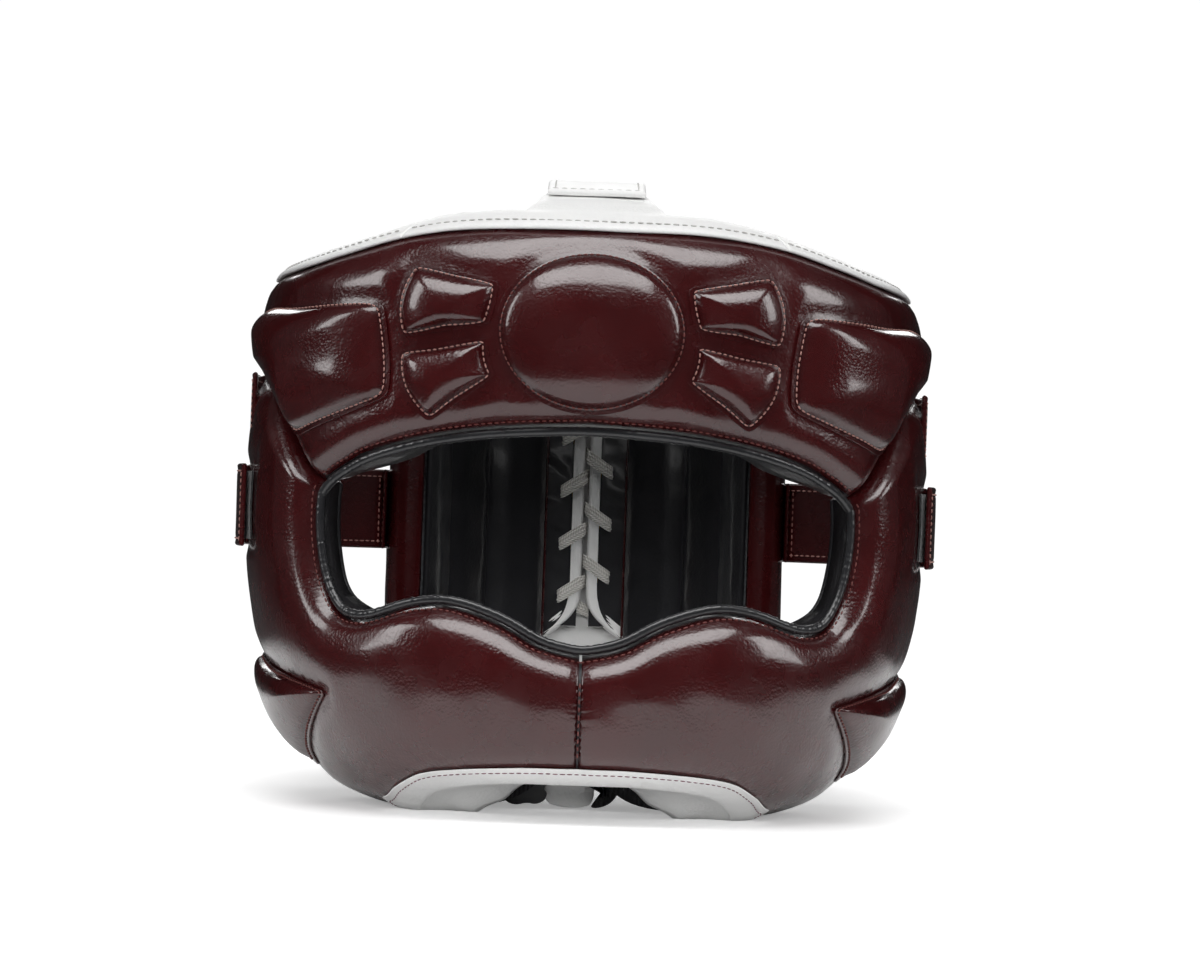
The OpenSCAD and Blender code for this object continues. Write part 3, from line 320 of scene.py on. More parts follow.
def new_piece(name, points, faces, materials, shade_near_seams=None):
    """Closed mesh object from points in mm; the last argument is 1 along its seams, where the material paints
    shade.
    """
    mesh = bpy.data.meshes.new(name)
    faces = faces.tolist() if isinstance(faces, np.ndarray) else faces
    mesh.from_pydata((np.asarray(points) / 1000).tolist(), [], faces)
    # Painted shade: the seam attribute darkens the hide's colour in grooves and creases
    if shade_near_seams is not None:
        seam = mesh.attributes.new("seam", "FLOAT", "POINT")
        seam.data.foreach_set("value", np.asarray(shade_near_seams, np.float32).ravel())
    outward(mesh)
    made = bpy.data.objects.new(name, mesh)
    bpy.context.collection.objects.link(made)
    for material in materials:
        mesh.materials.append(material)
    return made


def hide(name, dark, light, grain_mm=0.9, rough=0.24, seam_shade_strength=0.55, coat=1.0):
    """Full-grain cowhide: mottled dye, pebbled grain, painted shade in the grooves along its seams, a clear
    finish.

    The grain is drawn about twice as coarse as real, so that it shows at this distance.
    """
    made, tree, shader = finish_material(name)
    here = add(tree, "ShaderNodeTexCoord").outputs["Object"]
    cloud = add(tree, "ShaderNodeTexNoise", {"Vector": here, "Scale": 1 / DYE_PATCH, "Detail": 4.0,
                                             "Roughness": 0.6})
    dye = add(tree, "ShaderNodeMix",
              {"Factor": cloud.outputs["Fac"], "A": linear(dark), "B": linear(light)}, data_type="RGBA")
    # The seam attribute paints shade: the dye turns towards near-black #120506 in the grooves and creases
    # along the seams, where shade falls
    seam = add(tree, "ShaderNodeAttribute", attribute_name="seam")
    painted_seam_shade = add(tree, "ShaderNodeMath", {0: seam.outputs["Fac"], 1: seam_shade_strength}, operation="MULTIPLY")
    shade = add(tree, "ShaderNodeMix", {"Factor": painted_seam_shade.outputs[0], "A": dye.outputs["Result"],
                                        "B": linear("#120506")}, data_type="RGBA")
    tree.links.new(shade.outputs["Result"], shader.inputs["Base Color"])
    pebble = add(tree, "ShaderNodeTexVoronoi", {"Vector": here, "Scale": 1000 / grain_mm, "Randomness": 1.0},
                 feature="SMOOTH_F1")
    pores = add(tree, "ShaderNodeTexNoise", {"Vector": here, "Scale": 1000 / (grain_mm * 2.6), "Detail": 3.0})
    height = add(tree, "ShaderNodeMath", {0: pebble.outputs["Distance"], 1: pores.outputs["Fac"]},
                 operation="ADD")
    bump = add(tree, "ShaderNodeBump", {"Height": height.outputs[0], "Strength": 0.6, "Distance": 0.0002})
    tree.links.new(bump.outputs["Normal"], shader.inputs["Normal"])
    polish = add(tree, "ShaderNodeTexNoise", {"Vector": here, "Scale": 1 / POLISH_PATCH, "Detail": 3.0})
    dull = add(tree, "ShaderNodeMapRange", {"Value": polish.outputs["Fac"], "From Min": 0.3, "From Max": 0.7,
                                            "To Min": rough - 0.05, "To Max": rough + 0.09})
    tree.links.new(dull.outputs["Result"], shader.inputs["Roughness"])
    shader.inputs["IOR"].default_value = 1.55
    shader.inputs["Coat Weight"].default_value = coat
    shader.inputs["Coat IOR"].default_value = 1.6
    shader.inputs["Coat Roughness"].default_value = 0.13
    return made


# Glazed oxblood: nearly black where it faces the dark, with broad pale sheets of light that the grain breaks
# up and the groove beside every seam cuts off, where painted shade also darkens the dye
oxblood = hide("oxblood_glazed_cowhide", "#2f0809", "#470f11")


TWIST = 0.0004


def thread(name, colour):
    """Bonded polyester thread: round and softly shining, its twist in bands 0.13 mm apart, painted darker in
    their hollows as shade.

    The bands of a wave lie 0.314 of its size apart.
    """
    made, tree, shader = finish_material(name)
    here = add(tree, "ShaderNodeTexCoord").outputs["Object"]
    twist = add(tree, "ShaderNodeTexWave", {"Vector": here, "Scale": 1 / TWIST, "Distortion": 2.0},
                bands_direction="DIAGONAL")
    full = linear(colour)
    # Painted shade: the twist's hollows take 62% of the thread's colour
    hollow = [c * 0.62 for c in full[:3]] + [1]
    tint = add(tree, "ShaderNodeMix", {"Factor": twist.outputs["Fac"], "A": hollow, "B": full},
               data_type="RGBA")
    tree.links.new(tint.outputs["Result"], shader.inputs["Base Color"])
    shader.inputs["Roughness"].default_value = 0.5
    return made


# Two reds: pale rose rows that stand out on the oxblood, and darker ones that sink in
rose_thread = thread("dusty_rose_thread", "#c39289")
dark_thread = thread("dark_red_thread", "#7d4844")


def stitch_tree():
    """Geometry Nodes: one small stitch every pitch along each line, made into real mesh."""
    tree = bpy.data.node_groups.new("stitch_row", "GeometryNodeTree")
    ports = tree.interface
    ports.new_socket("Line", in_out="INPUT", socket_type="NodeSocketGeometry")
    for label, value in (("Pitch", 0.0021), ("Stitch Length", 0.0016), ("Thread Radius", 0.0003)):
        ports.new_socket(label, in_out="INPUT", socket_type="NodeSocketFloat").default_value = value
    ports.new_socket("Seed", in_out="INPUT", socket_type="NodeSocketInt").default_value = 7
    ports.new_socket("Thread", in_out="INPUT", socket_type="NodeSocketMaterial")
    ports.new_socket("Stitches", in_out="OUTPUT", socket_type="NodeSocketGeometry")
    given, out = add(tree, "NodeGroupInput"), add(tree, "NodeGroupOutput")
    line = add(tree, "GeometryNodeMeshToCurve", {"Mesh": given.outputs["Line"]})
    spots = add(tree, "GeometryNodeCurveToPoints",
                {"Curve": line.outputs["Curve"], "Length": given.outputs["Pitch"]}, mode="LENGTH")
    bead = add(tree, "GeometryNodeMeshUVSphere", {"Segments": 6, "Rings": 4, "Radius": 1.0})
    half = add(tree, "ShaderNodeMath", {0: given.outputs["Stitch Length"], 1: 0.5}, operation="MULTIPLY")
    uneven = add(tree, "FunctionNodeRandomValue", {2: 0.9, 3: 1.1, "Seed": given.outputs["Seed"]},
                 data_type="FLOAT")
    reach = add(tree, "ShaderNodeMath", {0: half.outputs[0], 1: uneven.outputs[1]}, operation="MULTIPLY")
    size = add(tree, "ShaderNodeCombineXYZ", {"X": given.outputs["Thread Radius"],
                                              "Y": given.outputs["Thread Radius"], "Z": reach.outputs[0]})
    row = add(tree, "GeometryNodeInstanceOnPoints",
              {"Points": spots.outputs["Points"], "Instance": bead.outputs["Mesh"],
               "Rotation": spots.outputs["Rotation"], "Scale": size.outputs[0]})
    real = add(tree, "GeometryNodeRealizeInstances", {"Geometry": row.outputs["Instances"]})
    dyed = add(tree, "GeometryNodeSetMaterial", {"Geometry": real.outputs["Geometry"],
                                                 "Material": given.outputs["Thread"]})
    tree.links.new(dyed.outputs["Geometry"], out.inputs["Stitches"])
    return tree


stitches = stitch_tree()


def grow(name, points, edges, tree, point_values=None, **values):
    """Runs a tree on a wire of points in mm and returns its result as a plain mesh object."""
    wire = bpy.data.meshes.new(name + "_wire")
    wire.from_pydata((np.asarray(points) / 1000).tolist(), edges, [])
    for key, data in (point_values or {}).items():
        wire.attributes.new(key, "FLOAT", "POINT").data.foreach_set("value", np.asarray(data, np.float32))
    carrier = bpy.data.objects.new(name + "_wire", wire)
    bpy.context.collection.objects.link(carrier)
    modifier = carrier.modifiers.new("grow", "NODES")
    modifier.node_group = tree
    for item in tree.interface.items_tree:
        if item.item_type == "SOCKET" and item.in_out == "INPUT" and item.name in values:
            modifier[item.identifier] = values[item.name]
    bpy.context.view_layer.update()
    mesh = bpy.data.meshes.new_from_object(carrier.evaluated_get(bpy.context.evaluated_depsgraph_get()))
    bpy.data.objects.remove(carrier)
    mesh.name = name
    mesh.shade_smooth()
    made = bpy.data.objects.new(name, mesh)
    bpy.context.collection.objects.link(made)
    return made


def sew(name, lines, material, body="guard", closed=True, pitch=2.1, size=1.6, radius=0.3):
    """Rows of stitches along lines of points in mm, as one piece that rides on a body."""
    points, edges = [], []
    for line in lines:
        first, count = len(points), len(line)
        points.extend(np.asarray(line).tolist())
        edges += [(first + k, first + k + 1) for k in range(count - 1)]
        if closed:
            edges.append((first + count - 1, first))
    made = grow(name, points, edges, stitches, **{"Pitch": pitch / 1000, "Stitch Length": size / 1000,
                                                 "Thread Radius": radius / 1000, "Thread": material})
    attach(made, body)
    return made


PUFF_SEAT = 0.45
FLANGE_MM = 1.9
RIM_LIFT = 0.9
STITCH_IN = 1.9
CREASE_MM, CREASE_PITCH, CREASE_REACH = 0.7, 3.6, 2.6
UNEVEN_MM, UNEVEN_PATCH = 0.16, 19
PUFF_RINGS = 38
ROUND_RISE, FAN_RISE, TEMPLE_RISE, JAW_RISE = 6.0, 4.5, 6.5, 6.0
ROUND_CENTRE, ROUND_WIDE, ROUND_HIGH = (0.001, 164.0), 65.0, 56.0
FAN_IN = ROUND_WIDE / 2 + 2.6
FAN_UPPER = [(FAN_IN - 3.2, 179.7, 0.6), (FAN_IN - 0.6, 165.6, 0.4), (64.4, 160.6, 3.4), (60.3, 185.7, 0.6)]
FAN_LOWER = [(FAN_IN - 0.4, 160.8, -0.8), (FAN_IN - 3.4, 148.6, 0.4), (54.3, 131.9, 3.6), (64.6, 155.8, 0.4)]
TEMPLE = [(34, 172.6, 0.5), (31.5, 140.4, 0.4), (55, 125.6, -0.3), (72, 147, 0), (84, 154, 0.2),
          (84, 168, 0.4), (69, 172, 0)]
JAW = [(49, 40, 0.3), (72, 12, 0.6), (85, 20, 0.2), (88, 50, 0.5)]
FAN_X, TEMPLE_AT, JAW_AT = 50.0, (58.0, 154.0), (73.0, 34.0)


def bowed(corners, per_edge, soften):
    """Outline through corners whose edges bow out, its corners softened a little."""
    line = []
    for k, (ax, az, bow) in enumerate(corners):
        bx, bz, _ = corners[(k + 1) % len(corners)]
        run = np.array([bx - ax, bz - az])
        out = np.array([run[1], -run[0]]) / np.linalg.norm(run)
        for v in np.arange(per_edge) / per_edge:
            line.append(np.array([ax, az]) + run * v + out * bow * 4 * v * (1 - v))
    line = np.array(line)
    for _ in range(soften):
        line = (np.roll(line, 1, 0) + 2 * line + np.roll(line, -1, 0)) / 4
    return line


def puff(name, line, centre, high, by_angle, side, edges, seed, colour):
    """Makes one domed puff and its stitches; returns its outline by angle and height."""
    centre = np.array(centre, float)

    def at(share):
        flat = mix(centre, line[None], share[..., None])
        angle = flat[..., 0] if by_angle else seen_at(flat[..., 0], flat[..., 1])
        return angle, flat[..., 1]

    rim = shell(*at(np.ones((1, len(line)))), 0)[0]
    spoke = np.linalg.norm(rim - shell(*at(np.zeros((1, len(line)))), 0)[0], axis=1)
    around = np.r_[0, np.cumsum(np.linalg.norm(np.diff(rim, axis=0), axis=1))]
    length = around[-1] + np.linalg.norm(rim[0] - rim[-1])

    def top(share, proud=0.0):
        angle, z = at(share)
        plain = shell(angle, z, 0)
        inward = (1 - share) * spoke
        risen = np.clip((inward - FLANGE_MM) / (spoke - FLANGE_MM), 0, 1)
        dome = high * np.maximum(1 - (1 - risen) ** 2.5, 0) ** 0.75
        base = mix(RIM_LIFT, PUFF_SEAT + HIDE_MM, ease((inward - FLANGE_MM) / 2.5))
        crease = CREASE_MM * gathers(around[None], inward, length, CREASE_PITCH, CREASE_REACH, seed)
        crease = crease * ease((inward - 2.2) / 1.2) * (1 - ease((inward - 3.5) / 4))
        soft = UNEVEN_MM * ripple(plain, UNEVEN_PATCH, seed) * ease(inward / 9)
        lift = base + dome - crease * np.minimum(dome / 2, 1) + soft + proud
        return shell(angle, z, curl(plain, edges) - lift), inward

    share = 1 - (np.arange(PUFF_RINGS) / PUFF_RINGS)[:, None] ** 1.75 * np.ones(len(line))
    upper, inward = top(share)
    under_share = np.array([1, 0.985, 0.6, 0.3])[:, None] * np.ones(len(line))
    angle, z = at(under_share)
    hollow = 0.1 + 0.8 * (under_share < 0.9)
    under = shell(angle, z, curl(shell(angle, z, 0), edges) - hollow)
    peak, _ = top(np.zeros((1, len(line))))
    angle, z = at(np.zeros((1, len(line))))
    seat = shell(angle, z, curl(shell(angle, z, 0), edges) - PUFF_SEAT - 0.5)
    n = len(line)
    points = np.concatenate([upper.reshape(-1, 3), under.reshape(-1, 3), peak[0, :1], seat[0, :1]])
    order = [k * n for k in range(PUFF_RINGS)]
    low = [(PUFF_RINGS + k) * n for k in range(4)]
    faces = []
    for a, b in list(zip(order, order[1:])) + [(low[0], order[0])] + list(zip(low[1:], low)):
        faces += [(a + j, a + (j + 1) % n, b + (j + 1) % n, b + j) for j in range(n)]
    faces += [(order[-1] + j, order[-1] + (j + 1) % n, len(points) - 2) for j in range(n)]
    faces += [(low[-1] + (j + 1) % n, low[-1] + j, len(points) - 1) for j in range(n)]
    # Painted shade in the groove along the puff's stitch line
    shade_near_seams = np.concatenate([np.exp(-((inward - STITCH_IN) / 1.1) ** 2).ravel() * 0.9, np.zeros(4 * n + 2)])
    row, _ = top(1 - STITCH_IN / spoke[None], proud=0.3)
    row = row[0]
    if side < 0:
        points, row = points * [-1, 1, 1], row * [-1, 1, 1]
    made = new_piece(name + "_hide", points, faces, [oxblood], shade_near_seams)
    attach(made, "guard")
    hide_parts(name)
    sew(name + "_stitches", [row], colour)
    angle, z = at(np.ones((1, n)))
    return np.stack([angle[0] * side, z[0]], 1)


turns = np.radians(np.arange(0, 360, 2.0))
round_line = np.stack([ROUND_WIDE / 2 * np.cos(turns), ROUND_CENTRE[1] + ROUND_HIGH / 2 * np.sin(turns)], 1)
brow_marks = [puff("forehead_round_puff", round_line, ROUND_CENTRE, ROUND_RISE, False, 1, BROW_EDGES, 11,
                   dark_thread)]
face_marks = {}
for side, word in ((-1, "left"), (1, "right")):
    for level_word, corners in (("upper", FAN_UPPER), ("lower", FAN_LOWER)):
        middle = (FAN_X, (corners[0][1] + corners[2][1]) / 2)
        seed = 20 + side * 3 + len(level_word) + len(corners)
        brow_marks.append(puff("fan_puff_%s_%s" % (level_word, word), bowed(corners, 30, 4), middle, FAN_RISE,
                               False, side, BROW_EDGES, seed, rose_thread))
    brow_marks.append(puff("temple_puff_" + word, bowed(TEMPLE, 22, 5), TEMPLE_AT, TEMPLE_RISE, True, side,
                           BROW_EDGES, 30 + side, rose_thread))
    face_marks[side] = puff("jaw_puff_" + word, bowed(JAW, 34, 4), JAW_AT, JAW_RISE, True, side, FACE_EDGES,
                            40 + side, dark_thread)


# Forehead pad
# A thick sculpted foam core under a stretched oxblood cover, with a black cowhide
# lining turned over the edge of the eye opening. The cover is drawn in where the
# puffs are sewn, and stands a little fuller between them.
BROW_END = 94.0
BROW_ROUND = 9.0
BROW_THICK, BROW_SIDE_THICK = 34.0, 38.0
FOAM_ROOM = 1.4
PILLOW = 1.2
EAR_STRAP_Z = 102.0
END_COLUMNS = np.array([93.37, 93.45, BROW_END])
END_WALL_FROM = 93.4

# Black lining: softer and duller than the oxblood, with a satin sheen in its folds
lining_hide = hide("black_cowhide_lining", "#1a1a1c", "#29292c", grain_mm=1.1, rough=0.34, seam_shade_strength=0.3,
                   coat=0.6)

# Grey moulded foam: quite matt, its cells drawn at 1.2 mm, coarser than real
FOAM_CELL = 0.0012
foam_block, tree, shader = finish_material("grey_moulded_foam")
here = add(tree, "ShaderNodeTexCoord").outputs["Object"]
cells = add(tree, "ShaderNodeTexVoronoi", {"Vector": here, "Scale": 1 / FOAM_CELL})
tone = add(tree, "ShaderNodeMix",
           {"Factor": cells.outputs["Distance"], "A": linear("#77797c"), "B": linear("#5b5d60")},
           data_type="RGBA")
tree.links.new(tone.outputs["Result"], shader.inputs["Base Color"])
pits = add(tree, "ShaderNodeBump", {"Height": cells.outputs["Distance"], "Strength": 0.6, "Distance": 0.0003})
tree.links.new(pits.outputs["Normal"], shader.inputs["Normal"])
shader.inputs["Roughness"].default_value = 0.95


def jaw_thin(angle, z):
    """How much thinner the padding is low on the jaws."""
    return 12 * (1 - ease(z / 50)) * ease((np.abs(angle) - 12) / 30)


def cheek_thin(angle, z):
    """How much thinner the padding is beside the eyes."""
    return 21 * ease((np.abs(angle) - 38) / 12) * (1 - ease((np.abs(z - 100) - 27) / 22))


def column_set(start, end, thick, lift, drop=0.0, seam=0.0, rear=False, side=1):
    """Columns of a padded band: lower ends, upper ends, thickness and the lift of the face."""
    cols = {"start": np.asarray(start, float), "end": np.asarray(end, float), "rear": rear}
    for key, value in (("thick", thick), ("lift", lift), ("drop", drop), ("seam", seam), ("side", side)):
        cols[key] = np.broadcast_to(np.asarray(value, float), (len(start),)).copy()
    place = rear_half if rear else shell
    ends = [place(cols[k][:, 0], cols[k][:, 1], 0) for k in ("end", "start")]
    cols["span"] = np.linalg.norm(ends[0] - ends[1], axis=1)
    return cols


def on_band(cols, s, depth, sink=0.0):
    """Points s mm up each column and depth below its face; sink fades out towards the back."""
    span, thick, drop, seam, side = [cols[key][:, None] for key in ("span", "thick", "drop", "seam", "side")]
    (a0, z0), (a1, z1) = cols["start"].T[..., None], cols["end"].T[..., None]
    v = s / span
    angle = mix(a0, a1, v)
    bow = seam * (brow_low(angle) - mix(brow_low(a0), brow_low(a1), v))
    sag = drop * np.maximum(v, 0) ** 2 * np.minimum(depth / thick, 1)
    hollow = 0.6 * drop * ease((depth - 6.5) / 4) * (1 - ease((depth - thick + 9) / 8))
    z = mix(z0, z1, v) + bow * (seam > 0) - sag + hollow * np.exp(-((span - s) / 12) ** 2)
    fade = np.clip(1 - depth / (thick * 0.8), 0, 1)
    if cols["rear"]:
        points = rear_half(angle, z, depth + sink * fade)
    else:
        thin = (jaw_thin(angle, z) + cheek_thin(angle, z)) * np.clip((depth - 6) / (thick - 12), 0, 1)
        points = shell(angle, z, depth - thin + sink * fade)
    points[..., 0] *= side
    return points


def wrap(cols, back, round_r, inset=0.0, wall=5, turns=7, flats=44):
    """Section of a band: up one wall, round its edge, over the face and down the other wall."""
    count = len(cols["span"])
    q = max(round_r - inset, 0.4)
    top = cols["lift"][:, None] + round_r
    h, back = cols["span"][:, None], np.broadcast_to(np.asarray(back, float), (count,))[:, None]
    down = np.arange(wall)[None] / wall
    arc = np.radians(np.linspace(0, 90, turns + 1))[None]
    flat = np.arange(1, flats)[None] / flats
    rise_s, rise_d = np.full((count, wall), inset, float), mix(back, top, down)
    turn_s, turn_d = round_r - q * np.cos(arc) + 0 * h, top - q * np.sin(arc)
    face_s, face_d = mix(round_r, h - round_r, flat), cols["lift"][:, None] + round_r - q + 0 * flat
    s = np.concatenate([rise_s, turn_s, face_s, h - turn_s[:, ::-1], h - rise_s[:, ::-1]], 1)
    d = np.concatenate([rise_d, turn_d, face_d, turn_d[:, ::-1], rise_d[:, ::-1]], 1)
    return s, d


def tube_faces(rings, around, closed=False):
    """Quads of a tube through rings of points, its ends joined where it is closed."""
    i, j = np.meshgrid(np.arange(rings if closed else rings - 1), np.arange(around), indexing="ij")
    a, b, after = i * around, (i + 1) % rings * around, (j + 1) % around
    return np.stack([a + j, a + after, b + after, b + j], -1).reshape(-1, 4)


def ringed(name, outer, inner, materials, shade_near_seams=None, pick=None):
    """Closed piece between two matching grids of points, capped at both ends."""
    rings = np.concatenate([outer, inner[:, ::-1]], 1)
    m, n = rings.shape[:2]
    k = np.arange(n // 2 - 1)
    caps = [np.stack([e + k, e + k + 1, e + n - 2 - k, e + n - 1 - k], -1) for e in (0, (m - 1) * n)]
    faces = np.concatenate([tube_faces(m, n)] + caps)
    if shade_near_seams is not None:
        shade_near_seams = np.concatenate([shade_near_seams, shade_near_seams[:, ::-1] * 0], 1)
    made = new_piece(name, rings.reshape(-1, 3), faces, materials, shade_near_seams)
    if pick is not None:
        marks = np.zeros(len(faces), np.int32)
        marks[:(m - 1) * n] = np.concatenate([pick, pick[:, ::-1]], 1)[:-1].ravel()
        made.data.polygons.foreach_set("material_index", marks)
    return made


def inside(angle, z, outline):
    """Whether each (plan angle, height) lies within an outline."""
    hit = np.zeros(angle.shape, bool)
    for (ax, az), (bx, bz) in zip(outline, np.roll(outline, -1, 0)):
        if az != bz:
            hit ^= ((az > z) != (bz > z)) & (angle < (bx - ax) * (z - az) / (bz - az) + ax)
    return hit


def stretched(plain, angle, z, edges, marks, seed, room):
    """Smooth sink of a cover's face, its creases round the puffs, and the way to its edge."""
    total, creases = curl(plain, edges), np.zeros(angle.shape)
    free = np.full(angle.shape, 99.0)
    for k, mark in enumerate(marks):
        line = shell(mark[:, 0], mark[:, 1], 0)
        gap, run = nearest(plain, np.concatenate([line, line[:1]]))
        length = np.linalg.norm(np.diff(line, axis=0), axis=1).sum()
        within = inside(angle, z, mark)
        gap = np.where(within, 0, gap)
        creases += 0.4 * gathers(run, gap, length, 4.0, 1.9, seed + k) * ease(gap / 1.2) * ~within
        free = np.minimum(free, gap)
    edge = np.minimum(*edge_gaps(plain, edges))
    full = PILLOW * (1 - np.exp(-(free / 6) ** 2)) * (1 - np.exp(-(edge / 9) ** 2))
    full += room * ripple(plain, 21, seed) * np.minimum(ease(free / 6), ease(edge / 10))
    # The cheek lies flat where the ear strap's tape is sewn on
    if edges is FACE_EDGES:
        full *= 1 - ease((angle - 68) / 5) * (1 - ease((np.abs(z - EAR_STRAP_Z) - 13) / 6))
    total -= full
    return total, creases, edge


def opened_out(s):
    """Section places with the two beside the ends moved half-way to their neighbours."""
    last = s.shape[1] - 1
    k = np.arange(last + 1)
    n = np.where(k == 1, 2, np.where(k == last - 1, last - 2, k))
    return (s + s[:, n]) / 2


def closed_ends(inner_s, inner_d, back, flags):
    """Where flagged, a cover's hollow is closed to a flat back, as its end walls are."""
    flags = flags[:, None]
    flat_d = back[:, None] + 0 * inner_d
    return np.where(flags, opened_out(inner_s), inner_s), np.where(flags, flat_d, inner_d)


def above(outer, inner):
    """Points 0.15 mm off a cover's outer side, where its stitches lie."""
    return outer + 0.15 * (outer - inner) / HIDE_MM


brow_steps = np.concatenate([-END_COLUMNS[::-1], np.linspace(-92.8, 92.8, 300), END_COLUMNS])
depth_at = mix(BROW_THICK, BROW_SIDE_THICK, ease((np.abs(brow_steps) - 15) / 45))
gone = (BROW_END - np.abs(brow_steps)) * BEHIND_RUN
end_lift = BROW_ROUND - np.sqrt(np.maximum(BROW_ROUND**2 - np.maximum(BROW_ROUND - gone, 0) ** 2, 0))
brow = column_set(np.stack([brow_steps, brow_low(brow_steps)], 1),
                  np.stack([brow_steps, brow_high(brow_steps)], 1), depth_at, end_lift)
cover_back = brow["thick"] - HIDE_MM - SEWN_GAP
outer_s, outer_d = wrap(brow, cover_back, BROW_ROUND)
inner_s, inner_d = wrap(brow, cover_back, BROW_ROUND, HIDE_MM)
inner_s, inner_d = closed_ends(inner_s, inner_d, cover_back, np.abs(brow_steps) > END_WALL_FROM)
share = np.clip(outer_s / brow["span"][:, None], 0, 1)
z_here = mix(brow["start"][:, 1:], brow["end"][:, 1:], share)
angle_here = brow_steps[:, None] + 0 * share
plain = shell(angle_here, z_here, 0)
sink, creases, edge = stretched(plain, angle_here, z_here, BROW_EDGES, brow_marks, 50, 0.3)
sink += creases
along_edge = np.r_[0, np.cumsum(np.linalg.norm(np.diff(BROW_EDGES[0], axis=0), axis=1))]
run = np.interp(brow_steps, brow_fan, along_edge)[:, None] + 0 * share
edge_creases = 0.3 * gathers(run, edge, along_edge[-1], 4.5, 2.8, 60) * ease(edge)
sink += edge_creases * ease((BROW_END - np.abs(brow_steps))[:, None] / 3)
outer, inner = on_band(brow, outer_s, outer_d, sink), on_band(brow, inner_s, inner_d, sink)

# The lining's hide turns over the edge above the eyes, where a row of stitches holds it
EYE_WALL = 6.5
EYE_ROW = 8
over_eyes = (np.abs(brow_steps) < 50)[:, None] & (outer_s < 0.6) & (outer_d > EYE_WALL)
# Painted shade along the pad's edges, where the cover turns into the seams beside the other pads
cover = ringed("forehead_hide", outer, inner, [oxblood, lining_hide], np.exp(-(edge / 2.2) ** 2) * 0.6,
               over_eyes)
eye_rows = [above(outer, inner)[np.abs(brow_steps) < 49, EYE_ROW]]
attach(cover, "guard")
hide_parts("forehead_cover")


def foam_core(name, cols, round_r, edges, node):
    """One foam core under a cover, clear of it all round."""
    back = cols["thick"] - HIDE_MM - SEWN_GAP - 0.6
    s, d = wrap(cols, back, round_r, HIDE_MM + SEWN_GAP + FOAM_ROOM, wall=3, turns=4, flats=14)
    share = np.clip(s / cols["span"][:, None], 0, 1)
    sink = 0.0
    if not cols["rear"]:
        angle = mix(cols["start"][:, :1], cols["end"][:, :1], share)
        sink = curl(shell(angle, mix(cols["start"][:, 1:], cols["end"][:, 1:], share), 0), edges)
    outer = on_band(cols, s, np.minimum(d, back[:, None]), sink)
    flat = on_band(cols, opened_out(s), back[:, None] + 0 * s)
    made = ringed(name, outer[:, 1:-1], flat[:, 1:-1], [foam_block])
    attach(made, "guard")
    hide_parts(node)


def picked(cols, keep):
    """The same band with only some of its columns."""
    return {k: (v[keep] if isinstance(v, np.ndarray) else v) for k, v in cols.items()}


inside_ends = np.flatnonzero(np.abs(brow_steps) < 92.9)
foam_core("forehead_core", picked(brow, inside_ends[::4]), BROW_ROUND, BROW_EDGES, "forehead_foam")


def lining(name, cols, margin, node, seed, puffed=0.0, fold=0.0, at_start=False, steps=60, channels=None,
           wave=0.5):
    """Soft lining on the inner side of a band, with light wrinkles across it."""
    h = cols["span"][:, None]
    s = mix(margin, h - margin, np.linspace(0, 1, steps)[None])
    inner_side = on_band(cols, s, cols["thick"][:, None] + 0 * s)
    away = np.minimum(np.minimum(s - margin, h - margin - s), 6) / 6
    rows = np.arange(len(cols["span"]))
    ends = np.minimum(np.minimum(rows, rows[::-1]) / 6, 1)[:, None]
    puff_out = wave * (0.5 + 0.5 * ripple(inner_side, 13, seed)) * away * ends + puffed * away * ends
    if channels is not None:
        puff_out = puff_out + channels[:, None] * ease(away)
    if fold:
        under = (s if at_start else h - s) < fold + 1.5
        puff_out = np.where(under, 0, puff_out)
    near = on_band(cols, s, cols["thick"][:, None] + puff_out)
    far = on_band(cols, s, cols["thick"][:, None] - HIDE_MM + 0 * s)
    # Painted shade along the lining's sewn edges
    made = ringed(name, near, far, [lining_hide], np.exp(-(away * 6 / 2.5) ** 2) + 0 * near[..., 0])
    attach(made, "guard")
    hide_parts(node)


lining("forehead_inner_hide", picked(brow, inside_ends[::2]), SEWN_GAP, "forehead_lining", 71, puffed=0.8)


# Face bar and cheek columns
# Two stuffed halves run from the forehead seam down the cheeks and meet in a sewn seam
# over the chin. A black rolled piping edges the eye opening; white cowhide binds the
# jaw and the chin arch, with a plum stitch 2 mm from its edge.
FACE_ROUND = 9.0
FACING_WIDE, FACING_IN = 4.8, 20.0
ARCH_DROP = [(0, 0), (10, 0.3), (14, 1.2), (18, 2.6), (22, 4.4), (26, 5.6), (32, 5.8), (39, 4.6), (45, 2.6),
             (51, 0.5), (94, 0)]
BAR_THICK, CHEEK_THICK = 35.0, 38.0
FACE_RUN = 330
SEAM_SINK, SEAM_REACH = 1.5, 3.2


def face_columns(share, side, middle_gap=0.0):
    """Columns of the face pad from the forehead seam (share 0) to the middle seam (share 1)."""
    start, end = curve(EYE_EDGE, share), curve(OUTER_EDGE, share)
    thick = mix(BAR_THICK, CHEEK_THICK, ease((mix(start[:, 0], end[:, 0], 0.5) - 8) / 35))
    lift = 5 * (1 - np.minimum(share / 0.05, 1)) ** 2
    drop = curve(ARCH_DROP, end[:, 0])
    start[:, 0], end[:, 0] = np.maximum(start[:, 0], middle_gap), np.maximum(end[:, 0], middle_gap)
    return column_set(start, end, thick, lift, drop, 1 - ease(share / 0.16), False, side)


